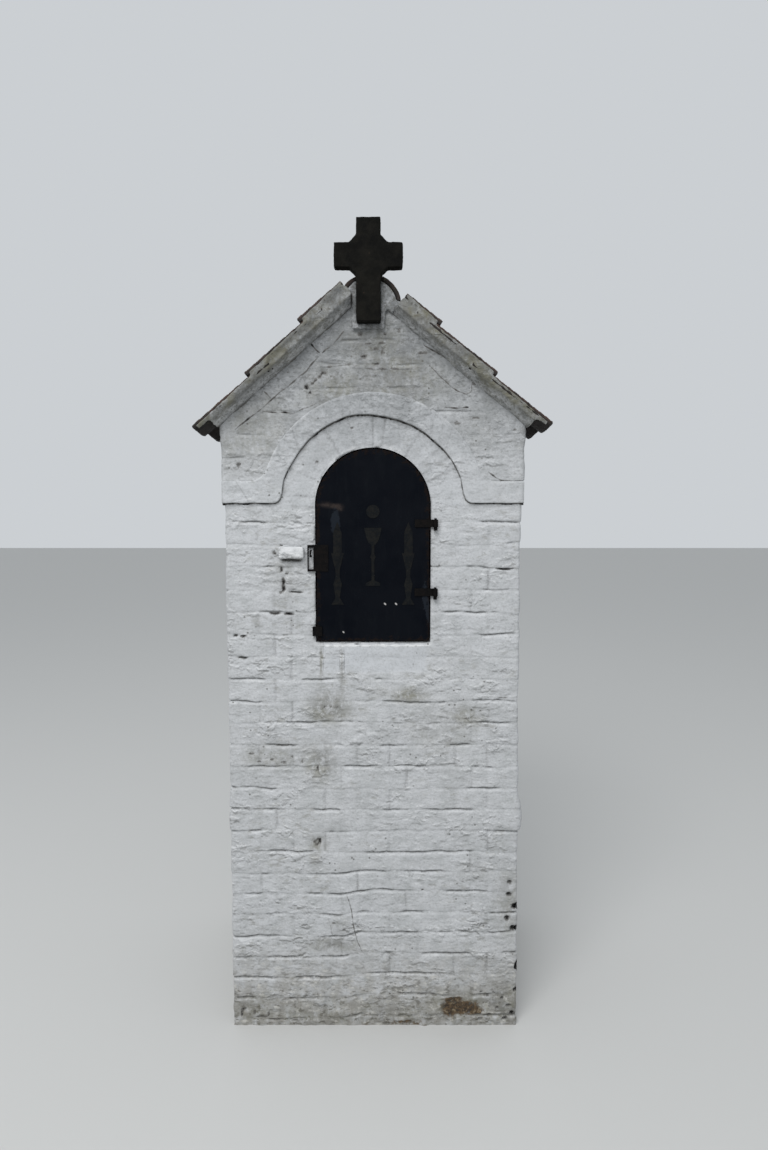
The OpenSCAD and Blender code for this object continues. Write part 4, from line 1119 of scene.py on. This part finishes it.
def build_hood():
    edges = hood_edges()
    edges.reverse()
    rows = len(HOOD_JOINT) + len(HOOD_SECTION)
    bm = bmesh.new()
    wear = bm.verts.layers.float_color.new("wear")
    bmesh.ops.create_grid(bm, x_segments=len(edges) - 1, y_segments=rows - 1, size=1)
    ends = {-1: [], 1: []}
    for v in bm.verts:
        i, j = grid_index(v.co.x, len(edges)), grid_index(v.co.y, rows)
        inner, outer = edges[i]
        across = (outer - inner).normalized()
        run = i * POINT_STEP * MM
        wave = 1.4 * MM * swell((inner.x, 0, inner.y), 0.04, 12)
        if j < len(HOOD_JOINT):
            width, dark = hood_joint(inner, run)
            spot = inner + across * (wave + width * HOOD_JOINT[j])
            wall, _ = lower_front_relief(Vector((spot.x, FRONT_Y, spot.y)), spot.x + BODY_HALF, 0)
            sunk = 1.2 * MM if j == 0 else -0.5 * MM
            v.co = Vector((spot.x, FRONT_Y - wall + sunk, spot.y))
            # The strip of open joint is painted dark as the band's shadow
            v[wear] = (0.3, 0.2, 0, dark)
        else:
            share, back = HOOD_SECTION[j - len(HOOD_JOINT)]
            back *= MM
            spot = inner + (outer - inner) * share + across * wave * (1 - share)
            p = Vector((spot.x, HOOD_Y + back, spot.y))
            n = round(run / HALF_BRICK)
            seam = chance(n, 3, 8) ** 2 * fade(abs(run - n * HALF_BRICK), 6 * MM)
            lift = limewash_swell(p) * 0.7 - 1.4 * MM * seam
            p.y = min(p.y - lift, FRONT_Y + 3 * MM) if share < 0.5 else p.y - lift
            v.co = p
            # Painted shade on the band's inner side face, and a painted highlight along its outer
            # edge
            edge = 0.7 if j == len(HOOD_JOINT) else 0.0
            lit = 0.32 * clamp(0.5 + 1.6 * swell(p, 0.05, 21)) * fade(abs(share - 0.96), 0.1)
            v[wear] = (0.4 * seam - lit, 0.15 * clamp(swell(p, 0.1, 4)) - 0.35, 0, edge)
        if i in (0, len(edges) - 1):
            ends[-1 if i == 0 else 1].append(v)
    for side, loop in ends.items():
        rim = [e for e in bm.edges if e.verts[0] in loop and e.verts[1] in loop]
        made = bmesh.ops.extrude_edge_only(bm, edges=rim)
        for v in {v for g in made["geom"] if isinstance(g, bmesh.types.BMEdge) for v in g.verts}:
            v.co = Vector((side * (UPPER_HALF + 0.5 * MM), HOOD_Y + 30 * MM, STRING_Z + HOOD_H / 2))
    bmesh.ops.remove_doubles(bm, verts=bm.verts, dist=1e-5)
    bmesh.ops.recalc_face_normals(bm, faces=bm.faces)
    add_piece("hood_band", bm, WHITEWASH, "whitewash", ("hood_mould",))


build_hood()


# Mortar, keeper, cross and tiles: the CAD shapes with rounded and roughened skins

def build_rough(name, node, voxel, skin, rounds, finish, wear, front_end=None, bm=None):
    """Remeshes a node's shape, roughens its skin and trims it at the top and the front."""
    bm = remeshed(cad_copy(node) if bm is None else bm, voxel)
    roughen(bm, skin, rounds)
    for v in bm.verts:
        v.co.z = min(v.co.z, cad_high.z)
        if front_end:
            v.co.y = max(v.co.y, front_end(v.co))
    paint(bm, wear)
    add_piece(name, bm, *finish, (node,))


WASHED, WASHED_MORTAR = (WHITEWASH, "whitewash"), (WORN_WASH, "mortar")
STONE, TILE = (DARK_STONE, "dark_stone"), (CLAY, "roof_tile")


def mortar_skin(p):
    return 1.6 * MM * swell(p, 0.045, 1) + 1.2 * MM * swell(p, 0.016, 7) - 0.5 * MM


def stone_skin(p):
    return 0.7 * MM * swell(p, 0.03, 2) + 0.6 * MM * swell(p, 0.009, 4) - 0.6 * MM


def plain(v):
    return 0, 0, 0, 0


build_rough("back_verges", "back_verge_mortar", 6 * MM, mortar_skin, 2, WASHED_MORTAR, plain)
build_rough("cross_footing", "cross_seat", 4 * MM, mortar_skin, 1, WASHED_MORTAR, plain)
# The keeper takes the lit colour all over, a painted highlight
build_rough("keeper", "keeper_block", 4 * MM, stone_skin, 2, WASHED, lambda v: (-0.8, 0, 0, 0))
build_rough("stone_cross", "cross", 3.2 * MM, stone_skin, 1, STONE, plain)


# Roof: each side's pitch, and for each course of tiles where its tail lies down the slope, how
# far its underside stands off the slope there, and where its head lies
ROOF = {
    "left": (-1, 40.898, 0.695, ((219.3, 46.7, 45), (445.3, 32.7, 140.3), (671.3, 18.7, 366.3))),
    "right": (1, 39.229, 1.964, ((235.5, 43.5, 100), (461.5, 34.5, 156.5), (687.5, 25.5, 382.5))),
}
# The tiles' front ends are trimmed back to here and the daub stands in front of them
TILE_END_Y = -429.5 * MM
DAUB_Y, DAUB_FOOT_Y, DAUB_BACK_Y = -434.6 * MM, -427 * MM, -421 * MM


def slope_place(side, s, n, y):
    """Place s down a slope and n off it, on one side of the roof."""
    sign, pitch = ROOF[side][:2]
    pitch = math.radians(pitch)
    return Vector((APEX_X + sign * (s * math.cos(pitch) + n * math.sin(pitch)), y,
                   APEX_Z - s * math.sin(pitch) + n * math.cos(pitch)))


def add_daub(bm, side, course):
    """A wedge of mortar over the front ends of one course of tiles, up to near their top."""
    _, _, tilt, courses = ROOF[side]
    tail_s, tail_n, head_s = (value * MM for value in courses[course])
    start = head_s + (1 * MM if course == 0 else -1 * MM)
    end = tail_s - 12 * MM
    sink = math.tan(math.radians(tilt))
    made = bmesh.ops.create_cube(bm, size=2.0)
    for v in made["verts"]:
        s = end if v.co.x > 0 else start
        top, front = v.co.z > 0, v.co.y < 0
        lift = (19 if s == end else 26.5) * MM if top else (8 if front else 2) * MM
        n = tail_n - (tail_s - s) * sink + lift
        v.co = slope_place(side, s, n, (DAUB_Y if top else DAUB_FOOT_Y) if front else DAUB_BACK_Y)


def verge_wear_and_light(v):
    """Stain, joints and painted light of the daub: a dark line along its foot, a painted highlight
    on the slanted band along its lower edge, and grime towards the tiles that is strongest on the
    daub's upright face, partly as painted shade.
    """
    depth, down = slope_depth(v.co.x, v.co.z)
    off = -depth
    face = clamp((off - 12 * MM) / (10 * MM))
    right = v.co.x > APEX_X
    grime = clamp(0.5 + 0.9 * swell(v.co, 0.12, 3))
    stain = 0.7 + 0.3 * grime if right else 0.5 + 0.4 * grime
    stain *= 0.5 + 0.5 * clamp(down / 0.25)
    line = fade(abs(off - 1 * MM), 4.5 * MM) * clamp(0.8 + swell(v.co, 0.05, 9))
    joint_and_highlight = (0.5 if right else 1.1) * line + 0.35 * clamp(swell(v.co, 0.018, 14))
    # Painted highlight on the slanted band above the dark line
    joint_and_highlight -= 0.5 * (1 - face) * (1 - line)
    mottle = clamp(0.5 + 1.4 * swell(v.co, 0.04, 33))
    return joint_and_highlight, clamp(stain * (0.3 + 0.75 * face) * (0.6 + 0.8 * mottle)), 0, 0


def build_front_verges():
    bm = cad_copy("front_verge_mortar")
    for side in ROOF:
        for course in range(3):
            add_daub(bm, side, course)
    bmesh.ops.recalc_face_normals(bm, faces=bm.faces)
    build_rough("front_verges", "front_verge_mortar", 4 * MM, mortar_skin, 2, WASHED_MORTAR,
                verge_wear_and_light, lambda p: cad_low.y + 0.3 * MM, bm)


def tile_skin(p):
    return 0.7 * MM * swell(p, 0.05, 4) + 0.5 * MM * swell(p, 0.014, 9) - 0.3 * MM


def tile_end(p):
    return TILE_END_Y + 0.8 * MM * swell(p, 0.02, 5)


def tile_painted_shade(v):
    """Painted shade on the underside and towards the front end of a tile."""
    return 0, 0, 0, clamp(0.3 - 2 * v.normal.z + 0.8 * fade(v.co.y - TILE_END_Y, 14 * MM))


# Painted shade on the sides and undersides of the ridge tiles
def ridge_painted_shade(v):
    return 0, 0, 0, clamp(0.7 - 1.2 * v.normal.z)


build_front_verges()
for side in ROOF:
    for row in ("top", "middle", "eave"):
        build_rough(f"{side}_pantiles_{row}", f"{side}_tiles_{row}", 4.6 * MM, tile_skin, 1, TILE,
                    tile_painted_shade, tile_end)
build_rough("ridge_pantiles", "ridge_tiles", 4.2 * MM, tile_skin, 1, TILE, ridge_painted_shade)


# Door sheet, cut fine enough to carry dents, and the ground of the pillar

# Marks on the door in millimetres: x, z, half width, half height; a dot has a radius
DOOR_RUST = [(-146, 1734, 22, 6), (-118, 1730, 22, 6), (-104, 1722, 8, 7)]
DOOR_PALE = [(-118, 1678, 14, 44), (165, 1445, 8, 44), (176, 1395, 7, 40)]
DOOR_DOTS = [(-145, 1592, 2), (-160, 1554, 2), (38, 1420, 2), (72, 1420, 3.4), (-93, 1330, 1.7),
             (-160, 1718, 2.6)]


def build_door_sheet():
    bm = cad_copy("door_leaf")
    low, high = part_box("door_leaf")
    for axis in (0, 2):
        normal = Vector((1, 0, 0) if axis == 0 else (0, 0, 1))
        count = round((high[axis] - low[axis]) / (7 * MM))
        for i in range(1, count):
            bmesh.ops.bisect_plane(bm, geom=bm.verts[:] + bm.edges[:] + bm.faces[:], dist=1e-5,
                                   plane_co=low + normal * (high[axis] - low[axis]) * i / count,
                                   plane_no=normal)

    def marks(v):
        x, z = v.co.x, v.co.z
        outside = 1.0 if v.co.y < (low.y + high.y) / 2 else 0.0
        flaked = max(patch(x, z, spot, 0.8) for spot in DOOR_PALE)
        rusty = max(patch(x, z, spot, 0.6) for spot in DOOR_RUST)
        dot = max(patch(x, z, (a, b, r, r), 0.5) for a, b, r in DOOR_DOTS)
        return (clamp(1 + opening_distance(x, z) / (30 * MM)), flaked * outside, rusty * outside,
                dot * outside)

    paint(bm, marks)
    for v in bm.verts:
        calm = 1 - fade(abs(v.co.x) - 130 * MM, 40 * MM)
        v.co.y += 0.5 * MM * swell((v.co.x, 0, v.co.z), 0.11, 2) * (1 - 0.7 * calm)
    add_piece("door_sheet", bm, DOOR_PAINT, "door_paint", ("door_leaf",), "door", False)


def build_foot():
    """The underside of the pillar, a bed of rough mortar."""
    bm = bmesh.new()
    bmesh.ops.create_grid(bm, x_segments=40, y_segments=32, size=1)
    bmesh.ops.reverse_faces(bm, faces=bm.faces)
    for v in bm.verts:
        x = v.co.x * (BODY_HALF - 1 * MM) + max(0.0, v.co.x) * FOOT_LEAN
        y = v.co.y * (BACK_Y - 1 * MM)
        rim = max(abs(v.co.x), abs(v.co.y)) > 0.999
        v.co = Vector((x, y, 0.2 * MM if rim else (1.2 + 0.8 * swell((x, y, 0), 0.05)) * MM))
    paint(bm, lambda v: (0, 0.4, 0, 0))
    add_piece("pillar_foot", bm, MORTAR, "mortar", ("pillar",))


build_door_sheet()
build_foot()


def dress(material, *names):
    """Gives CAD nodes that keep their shape a material."""
    for name in names:
        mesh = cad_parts[name].data
        mesh.materials.clear()
        mesh.materials.append(material)


dress(MORTAR, "ridge_bed", "left_roof_bed", "right_roof_bed")
dress(IRON, "upper_pintle", "lower_pintle", "latch_staple", "upper_strap", "lower_strap",
      "latch_plate", "corner_lug", "door_rim")
dress(ORNAMENT, "chalice", "host", "candlesticks")


# Floor, light and camera
FLOOR_HALF = 30
LAMP_PLACE, LAMP_AIM, LAMP_SIZE, LAMP_WATTS = (-1.5, -5.0, 6.5), (0, 0, 1.2), 4.0, 350
SKY_COLOUR, SKY_STRENGTH = (0.92, 0.96, 1.0, 1.0), 0.65
CAMERA_PLACE, CAMERA_DIP, LENS, SENSOR = (0.035, -2.788, 1.7257), 5.03, 24.01, 36


def build_stage():
    bm = bmesh.new()
    bmesh.ops.create_grid(bm, x_segments=1, y_segments=1, size=FLOOR_HALF)
    floor = new_object("floor", mesh_of("floor", bm))
    material, _ = new_material("pale_floor", Base_Color=colour(200, 200, 198), Roughness=0.9)
    floor.data.materials.append(material)


def light_scene():
    world = bpy.data.worlds.new("sky")
    bpy.context.scene.world = world
    world.use_nodes = True
    sky = world.node_tree.nodes["Background"].inputs
    sky["Color"].default_value = SKY_COLOUR
    sky["Strength"].default_value = SKY_STRENGTH
    data = bpy.data.lights.new("sky_front", "AREA")
    data.shape = "SQUARE"
    data.size = LAMP_SIZE
    data.energy = LAMP_WATTS
    lamp = new_object("sky_front", data)
    lamp.location = LAMP_PLACE
    aim = Vector(LAMP_AIM) - Vector(LAMP_PLACE)
    lamp.rotation_euler = aim.to_track_quat("-Z", "Y").to_euler()


def place_camera():
    data = bpy.data.cameras.new("camera")
    data.sensor_width = SENSOR
    data.lens = LENS
    data.clip_end = 100
    camera = new_object("camera", data)
    camera.location = CAMERA_PLACE
    camera.rotation_euler = (math.radians(90 - CAMERA_DIP), 0, 0)
    bpy.context.scene.camera = camera


build_stage()
light_scene()
place_camera()
bpy.context.scene.view_settings.view_transform = "Standard"
